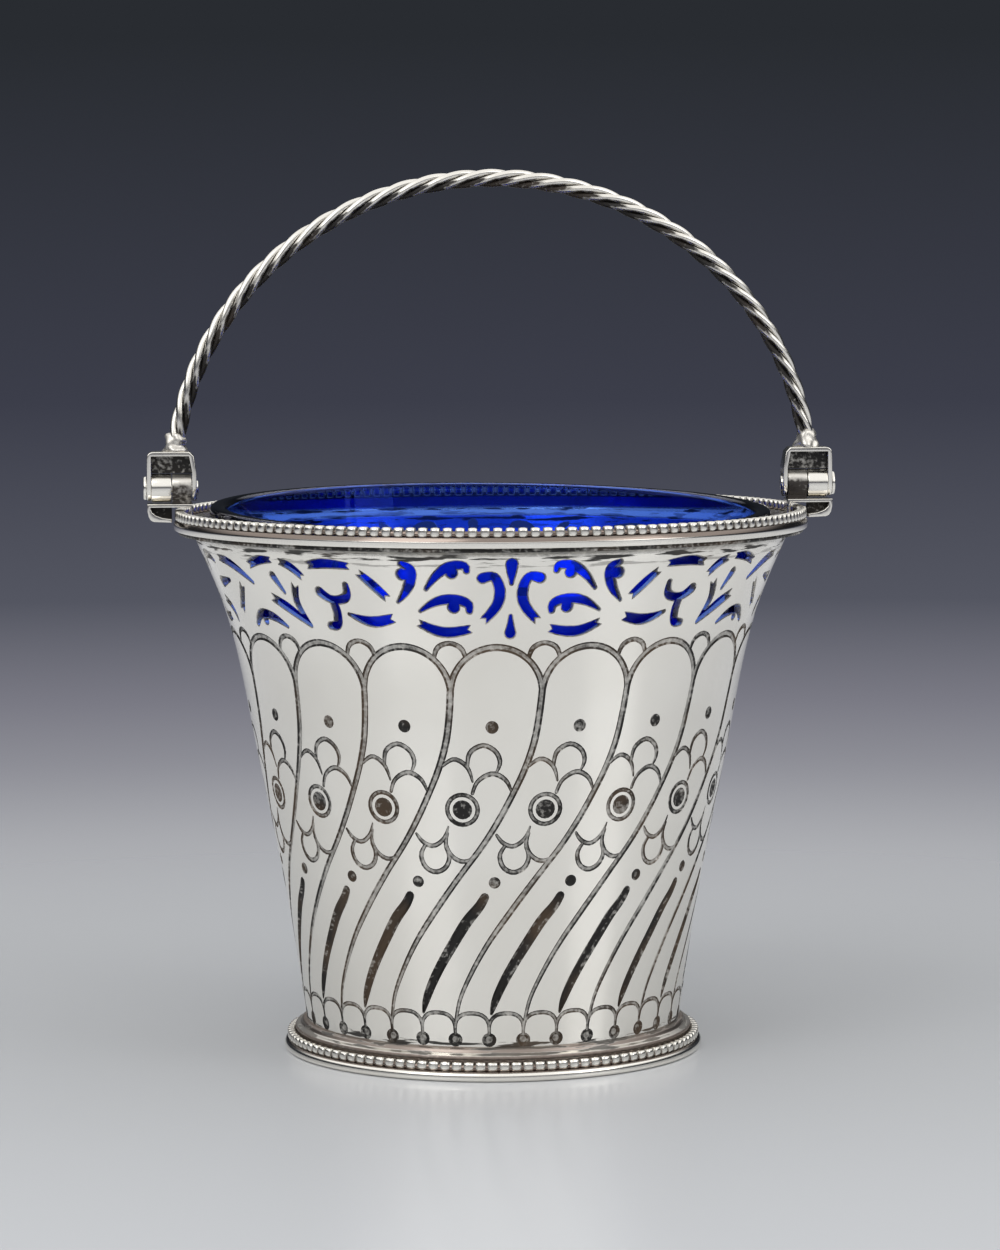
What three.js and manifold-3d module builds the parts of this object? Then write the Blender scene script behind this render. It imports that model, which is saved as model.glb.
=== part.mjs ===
// A silver cream pail: a tapered pierced and engraved wall on a beaded foot, a beaded rim,
// a blown glass liner, and a twisted four-wire bail that swings on two riveted hinges.
// Millimetres, +Z up. The hinges lie on the X axis and the front faces -Y.
// The origin is under the centre of the foot.
import * as THREE from "three";
import { mergeVertices } from "three/addons/utils/BufferGeometryUtils.js";
import Module from "manifold-3d";

const wasm = await Module();
wasm.setup();

// Sizes of the foot
const footRadius = 29.2;
const footBandHeight = 1.4;
const footBandWidth = 3.2;
const footBeadDiameter = 1.2;
const footBeadInset = 1.0;
const footBeadCount = 111;
const stepHeight = 2.8;
const stepRadius = 27.4;
const stepLedge = 1.4;

// Sizes of the wall, whose stations are radii at heights above the foot
const wallThickness = 0.95;
const wallStations = [
  { above: 0, radius: 26.1 },
  { above: 16, radius: 28.5 },
  { above: 37, radius: 32.6 },
  { above: 56.8, radius: 36.8 },
  { above: 67.2, radius: 41 },
];
const baseThickness = 0.8;
const bandHeight = 11.15; // from the foot of the pierced band to the top of the wall
const sawTail = 0.7; // how deep a swallow tail is, as a share of half the width of the cut
const sawRound = 0.8; // how far a round end reaches, as a share of the same
const sawPoint = 0.55; // an end narrower than this comes to a point
const lipReach = 2.6;
const lipRise = 0.75;
const lipThickness = 0.55;

// Sizes of the rim
const rimBandWidth = 1.6;
const rimBandHeight = 1.4;
const rimBandEdge = 0.75;
const rimBandOverhang = 0.4;
const rimBeadDiameter = 1.3;
const rimBeadCount = 167;
const beadWaist = 0.62;

// Sizes of the glass liner
const linerWall = 2.4;
const linerBase = 3;
const linerHeel = 3.7; // height of the rounded heel
const linerFootInset = 2.4; // of the flat foot, inside the heel
const linerShoulder = 1.5; // of the straight rim, below the top of the wall
const linerDrop = 0.4; // of the rim, below the tops of the beads
const linerRimRound = 0.5;

// Sizes of the bail, which was bent by hand and leans a little to the right
const bailRise = 42.2;
const bailSpring = 0.27; // of the middle of its half ellipse, above the hinge axis
const bailLean = 0.33;
const wireDiameter = 0.98;
const wireCount = 4;
const wireLayRadius = 0.76;
const wireTurns = 8;
const collarHeight = 2.3;
const collarRadius = 1.75;

// Sizes of the hinges
const hingeOutset = 0.25; // from the rim to the joint between the two knuckles
const hingeAxisAboveRim = 3.05;
const knuckleRadius = 1.98;
const bracketKnuckleLength = 2.5;
const yokeKnuckleLength = 2.5;
const yokeStrip = 0.6;
const yokeWidth = 3.6;
const yokeRise = 5.05;
const yokeCorner = 1;
const yokeSplay = 0.4; // of the inner leg, from the top to the foot
const pinRadius = 0.65;
const pinHeadRadius = 1.6;
const pinHeadHeight = 0.4;
const pinTailRadius = 1;
const bracketStrip = 0.45;
const bracketWidth = 4.4;
const webThickness = 1;
const saddleShare = 0.55; // of the knuckle's radius, on each side of the middle

// Clearances
const solderGap = 0.1;
const wireEndGap = 0.35; // under the slanting ends of the wires
const linerGap = 0.5;
const linerStandoff = 0.3;
const linerMouthGap = 1;
const turningGap = 0.27;
const sweepGap = 0.16;

// Fineness of the curved surfaces
const roundSteps = 36;
const smallSteps = 12;
const wireSteps = 50;
const wireSides = 4;
const beadCorners = 3;
const strokeStations = 4;
const lobeSides = 5;
const booleanMargin = 1;

// Heights and places that follow from the sizes
const footTop = footBandHeight + stepHeight;
const wallTop = footTop + wallStations.at(-1).above;
const wallTopRadius = wallStations.at(-1).radius;
const lipRadius = wallTopRadius + lipReach;
const lipTop = wallTop + lipRise + lipThickness;
const rimRadius = lipRadius + rimBandOverhang;
const rimBandTop = lipTop + rimBandHeight;
const rimBeadRadius = rimRadius - rimBandOverhang / 2 - rimBeadDiameter / 2;
const rimTop = rimBandTop + rimBeadDiameter;
const footBeadRadius = footRadius - footBeadInset;
const hingeZ = rimTop + hingeAxisAboveRim;
const yokeTop = hingeZ + yokeRise;
const yokeLegEnd = hingeZ - yokeWidth / 2;
const linerRimRadius = wallTopRadius - wallThickness - linerMouthGap;

// Places along X, outwards from the middle of the pail, of what is threaded on a hinge pin
const knuckleJoint = rimRadius + hingeOutset;
const bracketKnuckleOut = knuckleJoint - turningGap / 2;
const bracketKnuckleIn = bracketKnuckleOut - bracketKnuckleLength;
const yokeKnuckleIn = knuckleJoint + turningGap / 2;
const yokeKnuckleOut = yokeKnuckleIn + yokeKnuckleLength;
const innerLegOut = bracketKnuckleIn - turningGap;
const innerLegIn = innerLegOut - yokeStrip;
const outerLegIn = yokeKnuckleOut + solderGap;
const outerLegOut = outerLegIn + yokeStrip;
const boreRadius = pinRadius + turningGap;

// The strip that carries a hinge, its foot inside the rim and its outer edge below the yoke's
const bracketTop = hingeZ - knuckleRadius - sweepGap;
const bracketIn = rimBeadRadius - rimBeadDiameter / 2 - turningGap - 2 * bracketStrip;
const bracketOut = outerLegOut;

// The bail's half ellipse starts at the joint between the knuckles, and its wires at the yoke
const bailHalfSpan = knuckleJoint;
const bailMiddle = hingeZ + bailSpring;
const wireFoot = yokeTop + wireEndGap;
const bailStart = Math.asin((wireFoot - bailMiddle) / bailRise);
const bailFootOut = bailHalfSpan * Math.cos(bailStart);

const silver = { color: 0xd2d0c8, roughness: 0.22, metalness: 1 };
const tarnishedSilver = { color: 0xa79d92, roughness: 0.4, metalness: 1 };
const cobaltGlass = { color: 0x10209a, roughness: 0.05, metalness: 0 };

const heights = wallStations.map((station) => footTop + station.above);
const radii = wallStations.map((station) => station.radius);
const wallCurve = new THREE.CubicInterpolant(heights, radii, 1);

function wallRadius(z) {
  return wallCurve.evaluate(THREE.MathUtils.clamp(z, footTop, wallTop))[0];
}

function named(name, geometry, look) {
  const mesh = new THREE.Mesh(geometry, new THREE.MeshStandardMaterial(look));
  mesh.name = name;
  return mesh;
}

// Revolve an outline of [radius, height] pairs, counter-clockwise, round the Z axis
function turned(outline, steps = roundSteps) {
  const points = outline.map(([r, z]) => new THREE.Vector2(r, z));
  return new THREE.LatheGeometry(points, steps).rotateX(Math.PI / 2);
}

function turnedRing(outline, steps = roundSteps) {
  return turned([...outline, outline[0]], steps);
}

// Lay a piece that was turned round Z along the X axis, its top facing outwards
function laidOut(geometry, out, z) {
  return geometry.rotateY(Math.PI / 2).translate(out, 0, z);
}

function asSolid(geometry) {
  const bare = geometry.clone();
  bare.deleteAttribute("normal");
  bare.deleteAttribute("uv");
  const merged = mergeVertices(bare, 1e-3);
  const triVerts = merged.index
    ? new Uint32Array(merged.index.array)
    : Uint32Array.from({ length: merged.attributes.position.count }, (_, i) => i);
  const vertProperties = merged.attributes.position.array;
  return new wasm.Manifold(new wasm.Mesh({ numProp: 3, vertProperties, triVerts }));
}

function asGeometry(solid) {
  const mesh = solid.getMesh();
  const geometry = new THREE.BufferGeometry();
  geometry.setAttribute("position", new THREE.BufferAttribute(mesh.vertProperties, 3));
  geometry.setIndex(new THREE.BufferAttribute(mesh.triVerts, 1));
  geometry.computeVertexNormals();
  return geometry;
}

// Extrude an outline drawn in the XZ plane along Y, centred on Y = 0
function plateAcross(shape, width, curveSegments = 4) {
  const options = { depth: width, bevelEnabled: false, curveSegments };
  return new THREE.ExtrudeGeometry(shape, options)
    .rotateX(Math.PI / 2)
    .translate(0, width / 2, 0);
}

// Extrude an outline drawn in the YZ plane along X from x0 to x1
function plateAlong(shape, x0, x1, curveSegments = 6) {
  const options = { depth: x1 - x0, bevelEnabled: false, curveSegments };
  return new THREE.ExtrudeGeometry(shape, options)
    .rotateX(Math.PI / 2)
    .rotateZ(Math.PI / 2)
    .translate(x0, 0, 0);
}

function shapeOf(points) {
  return new THREE.Shape(points.map(([x, y]) => new THREE.Vector2(x, y)));
}

const bandFoot = wallTop - bandHeight;
const bandRadius = wallRadius(bandFoot + bandHeight / 2);
const quarterBand = (Math.PI / 2) * bandRadius;

// Openings of the pierced band, for a quarter of the way round. Each stroke is a list of
// [along, height, width] in millimetres: along the band from its mirror line, height above
// the foot of the band, and the width sawn there. A lobe is [along, height, radius].
// A notched end is sawn to a swallow tail, and the other ends are round or come to a point.
const onMirror = [
  { stroke: [[0, 10.2, 1.5], [0, 7.6, 0.4]] },
  { stroke: [[0, 0.7, 1.6], [0, 1.9, 0.9], [0, 3.2, 0.4]] },
];
const cScroll = {
  stroke: [[3.7, 8.3, 1.3], [2.3, 8.5, 1.1], [1.5, 6.8, 1.3], [1.7, 5, 1.3], [3.5, 2.7, 1]],
  endNotched: true,
};
const repeated = [
  cScroll,
  {
    stroke: [[11.1, 6.8, 0.4], [9.4, 8.8, 1], [7.7, 9.9, 1.2], [5.8, 9.9, 0.9], [5.7, 9.3, 0.7]],
    lobes: [[7.7, 9.1, 0.7]],
  },
  {
    stroke: [[12.2, 3.8, 0.3], [9.6, 5.2, 1.1], [7.1, 5.4, 1.2], [5.6, 4.7, 1.1], [5.5, 3.9, 0.8]],
    lobes: [[7.7, 4.2, 0.7]],
  },
  {
    stroke: [[12.4, 2.1, 0.9], [9.3, 1, 1.3], [5.6, 1.4, 1]],
    startNotched: true,
    endNotched: true,
  },
  {
    stroke: [[15.1, 5, 0.3], [13.3, 7.4, 1.3], [12.9, 9.4, 1.3], [14, 10.2, 0.7]],
    lobes: [[14.3, 9.1, 0.65]],
  },
  {
    stroke: [[19.9, 8.7, 0.9], [18.4, 7.3, 1.2], [16.7, 5.6, 1]],
    startNotched: true,
    endNotched: true,
  },
  {
    stroke: [[22.7, 3.1, 0.3], [19.4, 2.2, 1.3], [16.3, 2.7, 1.1]],
    endNotched: true,
  },
  {
    stroke: [[26.7, 6, 1.3], [24.9, 5, 1], [22.6, 5.5, 1.1], [22.3, 7.1, 0.7]],
    branch: [[24.9, 5, 1.1], [24.6, 3.2, 1.2], [25, 1.6, 1.2], [26.2, 1.4, 0.9]],
  },
  {
    stroke: [[27.4, 9.6, 0.9], [25.2, 9.9, 1.2], [21.4, 9.7, 0.8]],
    startNotched: true,
    endNotched: true,
  },
  {
    stroke: [[32.2, 9.8, 0.8], [30.7, 9.3, 1.1], [29.1, 8, 0.9]],
    startNotched: true,
    endNotched: true,
  },
  { stroke: [[34.5, 7.8, 1.1], [33.2, 5.6, 0.4]] },
  {
    stroke: [[36, 4.7, 1.1], [33.2, 3.4, 1.3], [29.7, 1.2, 0.4]],
    branch: [[30.8, 6.6, 1.1], [31.3, 4.5, 1], [29.7, 1.2, 0.4]],
    startNotched: true,
  },
  {
    stroke: [[34.6, 0.8, 0.3], [37.6, 2.1, 1.1], [40.4, 2.2, 1.1], [42.1, 0.8, 0.7]],
    lobes: [[39.5, 1.3, 0.55]],
  },
  {
    stroke: [[38.8, 9.1, 0.9], [36.6, 9.8, 1.1], [34, 10, 0.7]],
    startNotched: true,
    endNotched: true,
  },
  {
    stroke: [[47.2, 9.5, 0.8], [43.9, 8.9, 1.2], [39.6, 6.6, 0.4]],
    startNotched: true,
  },
  {
    stroke: [[43.1, 5.9, 1], [45.8, 2.5, 1]],
    startNotched: true,
    endNotched: true,
  },
  { stroke: [[46.6, 6.5, 0.4], [50.2, 6, 1.4]] },
  {
    stroke: [[49.2, 0.8, 0.4], [50, 2.3, 1], [52.3, 3.5, 1]],
    endNotched: true,
  },
  {
    stroke: [[50, 8.9, 0.5], [51.6, 9.6, 1], [54.2, 9.3, 1], [54.6, 7.6, 0.6]],
  },
  {
    stroke: [[52.6, 1.1, 0.9], [54.6, 0.9, 1.2], [56.6, 1.6, 0.9]],
    startNotched: true,
    endNotched: true,
  },
];

// Outline of a stroke, from points along a spline pushed out to both sides
function strokeOutline(stroke, startNotched, endNotched) {
  const spline = new THREE.CatmullRomCurve3(stroke.map((p) => new THREE.Vector3(...p)));
  const left = [];
  const right = [];
  const stations = Math.min(stroke.length, strokeStations);
  for (let i = 0; i < stations; i++) {
    const t = i / (stations - 1);
    const place = spline.getPoint(t);
    if ((t === 0 || t === 1) && place.z < sawPoint) continue;
    const heading = spline.getTangent(t).setZ(0).normalize();
    const side = new THREE.Vector2(-heading.y, heading.x).multiplyScalar(place.z / 2);
    left.push(new THREE.Vector2(place.x + side.x, place.y + side.y));
    right.push(new THREE.Vector2(place.x - side.x, place.y - side.y));
  }
  const cap = (t, direction) => {
    const place = spline.getPoint(t);
    const heading = spline.getTangent(t).setZ(0).normalize();
    const reach = (direction * place.z) / 2;
    return new THREE.Vector2(place.x + heading.x * reach, place.y + heading.y * reach);
  };
  const start = cap(0, startNotched ? sawTail : -sawRound);
  const end = cap(1, endNotched ? -sawTail : sawRound);
  return [start, ...right, end, ...left.reverse()];
}

function lobeOutline([along, height, radius]) {
  return Array.from({ length: lobeSides }, (_, i) => {
    const angle = (2 * Math.PI * i) / lobeSides;
    return new THREE.Vector2(along + radius * Math.cos(angle), height + radius * Math.sin(angle));
  });
}

// A saw cut straight through the wall: the outline, extruded outwards from the axis
function sawCut(outline, mirror, turn) {
  const middle = new THREE.Box2().setFromPoints(outline).getCenter(new THREE.Vector2());
  const local = outline.map((p) => new THREE.Vector2(mirror * (p.x - middle.x), p.y));
  if (THREE.ShapeUtils.isClockWise(local)) local.reverse();
  const angle = turn + (mirror * middle.x) / bandRadius;
  const inner = wallRadius(bandFoot) - 3 * wallThickness;
  const depth = wallTopRadius + wallThickness - inner;
  const outward = new THREE.Vector3(Math.sin(angle), -Math.cos(angle), 0);
  const along = new THREE.Vector3(Math.cos(angle), Math.sin(angle), 0);
  const placing = new THREE.Matrix4().makeBasis(along, new THREE.Vector3(0, 0, 1), outward);
  placing.setPosition(outward.x * inner, outward.y * inner, bandFoot);
  const options = { depth, bevelEnabled: false };
  const prism = new THREE.ExtrudeGeometry(new THREE.Shape(local), options);
  return asSolid(prism.applyMatrix4(placing));
}

function outlinesOf(opening, shift = 0, flip = 1) {
  const moved = ([along, height, size]) => [shift + flip * along, height, size];
  const { stroke, branch, lobes = [], startNotched, endNotched } = opening;
  const outlines = [strokeOutline(stroke.map(moved), startNotched, endNotched)];
  if (branch) outlines.push(strokeOutline(branch.map(moved), startNotched, false));
  return [...outlines, ...lobes.map((lobe) => lobeOutline(moved(lobe)))];
}

function pierced(wall) {
  let solid = asSolid(wall);
  const cut = (outlines, mirror, turn) => {
    const [first, ...rest] = outlines.map((outline) => sawCut(outline, mirror, turn));
    solid = solid.subtract(rest.reduce((sum, one) => sum.add(one), first));
  };
  for (const half of [0, Math.PI]) {
    for (const mirror of [1, -1]) {
      for (const opening of repeated) cut(outlinesOf(opening), mirror, half);
      cut(outlinesOf(cScroll, quarterBand, -1), mirror, half);
    }
    for (const opening of onMirror) {
      cut(outlinesOf(opening), 1, half);
      cut(outlinesOf(opening, quarterBand), 1, half);
    }
  }
  return asGeometry(solid);
}

// Raised wall, with its top turned outwards to carry the rim
function bodyWall() {
  const outside = [0, 0.3, 0.6, 0.8].map((share) => {
    const z = THREE.MathUtils.lerp(footTop, wallTop, share);
    return [wallRadius(z), z];
  });
  const inside = outside.map(([r, z]) => [r - wallThickness, z]).reverse();
  const lip = [
    [wallTopRadius, wallTop],
    [wallTopRadius + 0.2 * lipReach, wallTop + 0.7 * lipRise],
    [wallTopRadius + 0.5 * lipReach, wallTop + lipRise],
    [lipRadius, wallTop + lipRise],
    [lipRadius, lipTop],
    [wallTopRadius + 0.3 * lipReach, lipTop],
    [wallTopRadius - 0.6 * wallThickness, wallTop + 0.8 * lipRise],
    [wallTopRadius - wallThickness, wallTop],
  ];
  return named("body_wall", pierced(turnedRing([...outside, ...lip, ...inside])), silver);
}

function baseDisc() {
  const edge = wallStations[0].radius - wallThickness - solderGap;
  const outline = [
    [0, footTop],
    [edge, footTop],
    [edge, footTop + baseThickness],
    [0, footTop + baseThickness],
  ];
  return named("base_disc", turned(outline), silver);
}

function footBand() {
  const inner = footRadius - footBandWidth;
  const round = 0.3;
  const outline = [
    [inner, 0],
    [footRadius - round, 0],
    [footRadius, round],
    [footRadius, footBandHeight - round],
    [footRadius - round, footBandHeight],
    [inner, footBandHeight],
  ];
  return named("foot_band", turnedRing(outline), silver);
}

// Ring on which the wall stands, with the beaded wire outside its neck
function footStepRing() {
  const inner = wallStations[0].radius - wallThickness - stepLedge;
  const neck = footBeadRadius - footBeadDiameter / 2 - solderGap;
  const ledge = footBandHeight + footBeadDiameter + solderGap;
  const rise = footTop - ledge;
  const outline = [
    [inner, footBandHeight],
    [neck, footBandHeight],
    [neck, ledge],
    [stepRadius, ledge],
    [stepRadius + 0.1, ledge + 0.3 * rise],
    [stepRadius - 0.3, ledge + 0.55 * rise],
    [wallStations[0].radius + 0.3, footTop],
    [inner, footTop],
  ];
  return named("foot_step_ring", turnedRing(outline), silver);
}

// Plain bright band round the rim, bevelled up to the beads
function rimBand() {
  const inner = rimRadius - rimBandWidth;
  const outline = [
    [inner, lipTop],
    [rimRadius, lipTop],
    [rimRadius, lipTop + rimBandEdge],
    [rimRadius - rimBandOverhang / 2, rimBandTop],
    [inner, rimBandTop],
  ];
  return named("rim_band", turnedRing(outline), silver);
}

// Wire rolled into beads: rings of few corners, full at each bead and thin between two
function beadedWire(name, radius, foot, diameter, count) {
  const positions = [];
  const faces = [];
  const rings = 2 * count;
  for (let ring = 0; ring < rings; ring++) {
    const angle = (2 * Math.PI * ring) / rings;
    const half = (diameter / 2) * (ring % 2 ? beadWaist : 1);
    for (let corner = 0; corner < beadCorners; corner++) {
      const turn = (2 * Math.PI * corner) / beadCorners;
      const r = radius + half * Math.cos(turn);
      const z = foot + diameter / 2 + half * Math.sin(turn);
      positions.push(r * Math.cos(angle), r * Math.sin(angle), z);
      const here = ring * beadCorners + corner;
      const above = ring * beadCorners + ((corner + 1) % beadCorners);
      const next = (here + beadCorners) % (rings * beadCorners);
      const nextAbove = (above + beadCorners) % (rings * beadCorners);
      faces.push(here, next, nextAbove, here, nextAbove, above);
    }
  }
  const geometry = new THREE.BufferGeometry();
  geometry.setAttribute("position", new THREE.Float32BufferAttribute(positions, 3));
  geometry.setIndex(faces);
  geometry.computeVertexNormals();
  return named(name, geometry, tarnishedSilver);
}

// Blown glass beaker that follows the inside of the wall, its rim hidden behind the beads
function glassLiner() {
  const foot = footTop + baseThickness + linerStandoff;
  const top = rimTop - linerDrop;
  const shoulder = wallTop - linerShoulder;
  const follow = (z) => wallRadius(z) - wallThickness - linerGap;
  const heights = [0.3, 0.6, 0.82].map((share) => THREE.MathUtils.lerp(foot, shoulder, share));
  const neck = Math.min(follow(shoulder), linerRimRadius);
  const bore = linerRimRadius - linerWall;
  const outside = [
    [0, foot],
    [follow(foot) - linerFootInset, foot],
    [follow(foot) - 0.2 * linerFootInset, foot + 0.25 * linerHeel],
    [follow(foot + linerHeel), foot + linerHeel],
    ...heights.map((z) => [follow(z), z]),
    [neck, shoulder],
    [linerRimRadius, top - linerRimRound],
    [linerRimRadius - linerRimRound, top],
  ];
  const inside = [
    [bore + linerRimRound, top],
    [bore, top - linerRimRound],
    [neck - linerWall, shoulder],
    ...heights.map((z) => [follow(z) - linerWall, z]).reverse(),
    [follow(foot + linerHeel) - 1.2 * linerWall, foot + 1.5 * linerBase],
    [follow(foot) - linerWall - linerBase, foot + linerBase],
    [0, foot + linerBase],
  ];
  return named("glass_liner", turned([...outside, ...inside]), cobaltGlass);
}

// One wire of the bail, laid left-handed round the half ellipse
class BailWire extends THREE.Curve {
  constructor(phase) {
    super();
    this.phase = phase;
  }

  getPoint(t, target = new THREE.Vector3()) {
    const angle = THREE.MathUtils.lerp(Math.PI - bailStart, bailStart, t);
    const x = bailHalfSpan * Math.cos(angle);
    const z = bailMiddle + bailRise * Math.sin(angle);
    const normal = new THREE.Vector2(bailRise * Math.cos(angle), bailHalfSpan * Math.sin(angle));
    normal.normalize().multiplyScalar(wireLayRadius);
    const twist = this.phase - 2 * Math.PI * wireTurns * t;
    const lift = Math.cos(twist);
    const forward = -wireLayRadius * Math.sin(twist);
    return target.set(x + normal.x * lift, forward, z + normal.y * lift);
  }
}

function bailWires() {
  const outline = Array.from({ length: wireSides }, (_, i) => {
    const angle = (2 * Math.PI * i) / wireSides;
    return [(wireDiameter / 2) * Math.cos(angle), (wireDiameter / 2) * Math.sin(angle)];
  });
  return Array.from({ length: wireCount }, (_, i) => {
    const extrudePath = new BailWire((2 * Math.PI * i) / wireCount);
    const options = { steps: wireSteps, extrudePath };
    const geometry = new THREE.ExtrudeGeometry(shapeOf(outline), options);
    return named("bail_wire_" + (i + 1), geometry, silver);
  });
}

function cylinderAlong(radius, x0, x1, steps = smallSteps) {
  const outline = [[0, x0], [radius, x0], [radius, x1], [0, x1]];
  return laidOut(turned(outline, steps), 0, hingeZ);
}

function tubeAlong(outer, inner, x0, x1) {
  const outline = [[inner, x0], [outer, x0], [outer, x1], [inner, x1]];
  return laidOut(turnedRing(outline, smallSteps), 0, hingeZ);
}

// A solid across the whole hinge, to cut the bore out of what is threaded on the pin
function boreCut() {
  return asSolid(cylinderAlong(boreRadius, innerLegIn - booleanMargin, outerLegOut + booleanMargin));
}

// Stirrup at the foot of the bail: a strip bent over a web, its legs with round ends
function bailYoke() {
  const foot = yokeLegEnd - booleanMargin;
  const under = yokeTop - yokeStrip;
  const webFoot = hingeZ + knuckleRadius + turningGap;
  const outline = new THREE.Shape();
  outline.moveTo(innerLegIn, foot);
  outline.lineTo(innerLegOut, foot);
  outline.lineTo(innerLegOut, webFoot);
  outline.lineTo(innerLegOut + yokeSplay, under);
  outline.lineTo(outerLegIn, under);
  outline.lineTo(outerLegIn, foot);
  outline.lineTo(outerLegOut, foot);
  outline.lineTo(outerLegOut, yokeTop - yokeCorner);
  outline.quadraticCurveTo(outerLegOut, yokeTop, outerLegOut - yokeCorner, yokeTop);
  outline.lineTo(innerLegIn + yokeSplay + yokeStrip, yokeTop);
  outline.lineTo(innerLegIn + yokeSplay, under);
  outline.lineTo(innerLegIn, webFoot);
  const side = new THREE.Shape();
  side.moveTo(-yokeWidth / 2, yokeTop + booleanMargin);
  side.lineTo(-yokeWidth / 2, hingeZ);
  side.absarc(0, hingeZ, yokeWidth / 2, Math.PI, 2 * Math.PI, false);
  side.lineTo(yokeWidth / 2, yokeTop + booleanMargin);
  const strip = asSolid(plateAcross(outline, yokeWidth + 2 * booleanMargin));
  const rounded = asSolid(plateAlong(side, innerLegIn - booleanMargin, outerLegOut + booleanMargin));
  const web = asSolid(plateAcross(shapeOf([
    [innerLegOut - yokeStrip / 2, webFoot],
    [outerLegIn + yokeStrip / 2, webFoot],
    [outerLegIn + yokeStrip / 2, under + yokeStrip / 4],
    [innerLegOut + yokeSplay - yokeStrip / 2, under + yokeStrip / 4],
  ]), webThickness));
  return asGeometry(strip.intersect(rounded).subtract(boreCut()).add(web));
}

function yokeKnuckle() {
  return tubeAlong(knuckleRadius, boreRadius, yokeKnuckleIn, yokeKnuckleOut);
}

// Knuckle of the bracket, on a low saddle that is soldered to the bracket's top
function bracketKnuckle() {
  const tube = asSolid(cylinderAlong(knuckleRadius, bracketKnuckleIn, bracketKnuckleOut));
  const half = saddleShare * knuckleRadius;
  const saddle = shapeOf([
    [-half, bracketTop],
    [half, bracketTop],
    [half, hingeZ - knuckleRadius / 2],
    [-half, hingeZ - knuckleRadius / 2],
  ]);
  const foot = asSolid(plateAlong(saddle, bracketKnuckleIn, bracketKnuckleOut));
  return asGeometry(tube.add(foot).subtract(boreCut()));
}

// Riveted pin, with its wide head outside and its closed tail inside
function hingePin() {
  const tail = innerLegIn - solderGap;
  const head = outerLegOut + solderGap;
  const outline = [
    [0, tail - pinHeadHeight],
    [0.7 * pinTailRadius, tail - pinHeadHeight],
    [pinTailRadius, tail - pinHeadHeight / 2],
    [pinTailRadius, tail],
    [pinRadius, tail],
    [pinRadius, head],
    [pinHeadRadius, head],
    [pinHeadRadius, head + pinHeadHeight / 2],
    [0.8 * pinHeadRadius, head + pinHeadHeight],
    [0, head + pinHeadHeight],
  ];
  return laidOut(turned(outline, smallSteps), 0, hingeZ);
}

// Bracket that holds the hinge: a strip whose foot stands inside the rim and whose top passes
// over the beads, curling down to the rim band outside, with a web in the curl
function hingeBracket() {
  const innerFoot = lipTop + 2 * solderGap;
  const outerFoot = rimBandTop - solderGap;
  const under = bracketTop - bracketStrip;
  const touch = rimRadius + 2 * solderGap;
  const bend = bracketOut - bracketStrip;
  const corner = bracketOut - 2 * bracketStrip;
  const outline = new THREE.Shape();
  outline.moveTo(bracketIn, innerFoot);
  outline.lineTo(bracketIn + bracketStrip, innerFoot);
  outline.lineTo(bracketIn + bracketStrip, under);
  outline.lineTo(bend, under);
  outline.quadraticCurveTo(bend, outerFoot + bracketStrip, touch, outerFoot + bracketStrip / 2);
  outline.lineTo(touch, outerFoot - bracketStrip / 2);
  outline.lineTo(corner, outerFoot - bracketStrip / 4);
  outline.quadraticCurveTo(bracketOut, outerFoot, bracketOut, bracketTop);
  outline.lineTo(bracketIn, bracketTop);
  const web = shapeOf([
    [touch, outerFoot],
    [bend, outerFoot + bracketStrip],
    [bend, under + bracketStrip / 2],
    [touch, under + bracketStrip / 2],
  ]);
  const strip = asSolid(plateAcross(outline, bracketWidth));
  return asGeometry(strip.add(asSolid(plateAcross(web, webThickness))));
}

// Solder collar round the foot of the twisted wires, at one end of the bail
function bailCollar(side, word) {
  const bore = wireLayRadius + wireDiameter / 2 + solderGap;
  const outline = [
    [bore, 0],
    [collarRadius, 0],
    [collarRadius, 0.3 * collarHeight],
    [(bore + collarRadius) / 2, collarHeight],
    [bore, collarHeight],
  ];
  const ring = turnedRing(outline, smallSteps).translate(side * bailFootOut, 0, yokeTop);
  return named("bail_collar_" + word, ring, silver);
}

// What is soldered to the yokes, all of it a little to the right
function bail() {
  const pieces = new THREE.Group();
  pieces.add(bailCollar(1, "right"), bailCollar(-1, "left"), ...bailWires());
  pieces.position.x = bailLean;
  return pieces;
}

function hinge(side, turn) {
  const pieces = new THREE.Group();
  pieces.add(
    named("hinge_bracket_" + side, hingeBracket(), silver),
    named("bracket_knuckle_" + side, bracketKnuckle(), tarnishedSilver),
    named("bail_yoke_" + side, bailYoke(), silver),
    named("yoke_knuckle_" + side, yokeKnuckle(), silver),
    named("hinge_pin_" + side, hingePin(), silver),
  );
  pieces.rotation.z = turn;
  return pieces;
}

const pail = new THREE.Group();
pail.add(
  bodyWall(),
  baseDisc(),
  footBand(),
  beadedWire("foot_bead_wire", footBeadRadius, footBandHeight, footBeadDiameter, footBeadCount),
  footStepRing(),
  rimBand(),
  beadedWire("rim_bead_wire", rimBeadRadius, rimBandTop, rimBeadDiameter, rimBeadCount),
  glassLiner(),
  hinge("right", 0),
  hinge("left", Math.PI),
  bail(),
);

export default pail;
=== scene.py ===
import math

import bmesh
import bpy
import numpy as np
from mathutils import Euler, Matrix, Quaternion, Vector, noise
from mathutils.geometry import delaunay_2d_cdt


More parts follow.
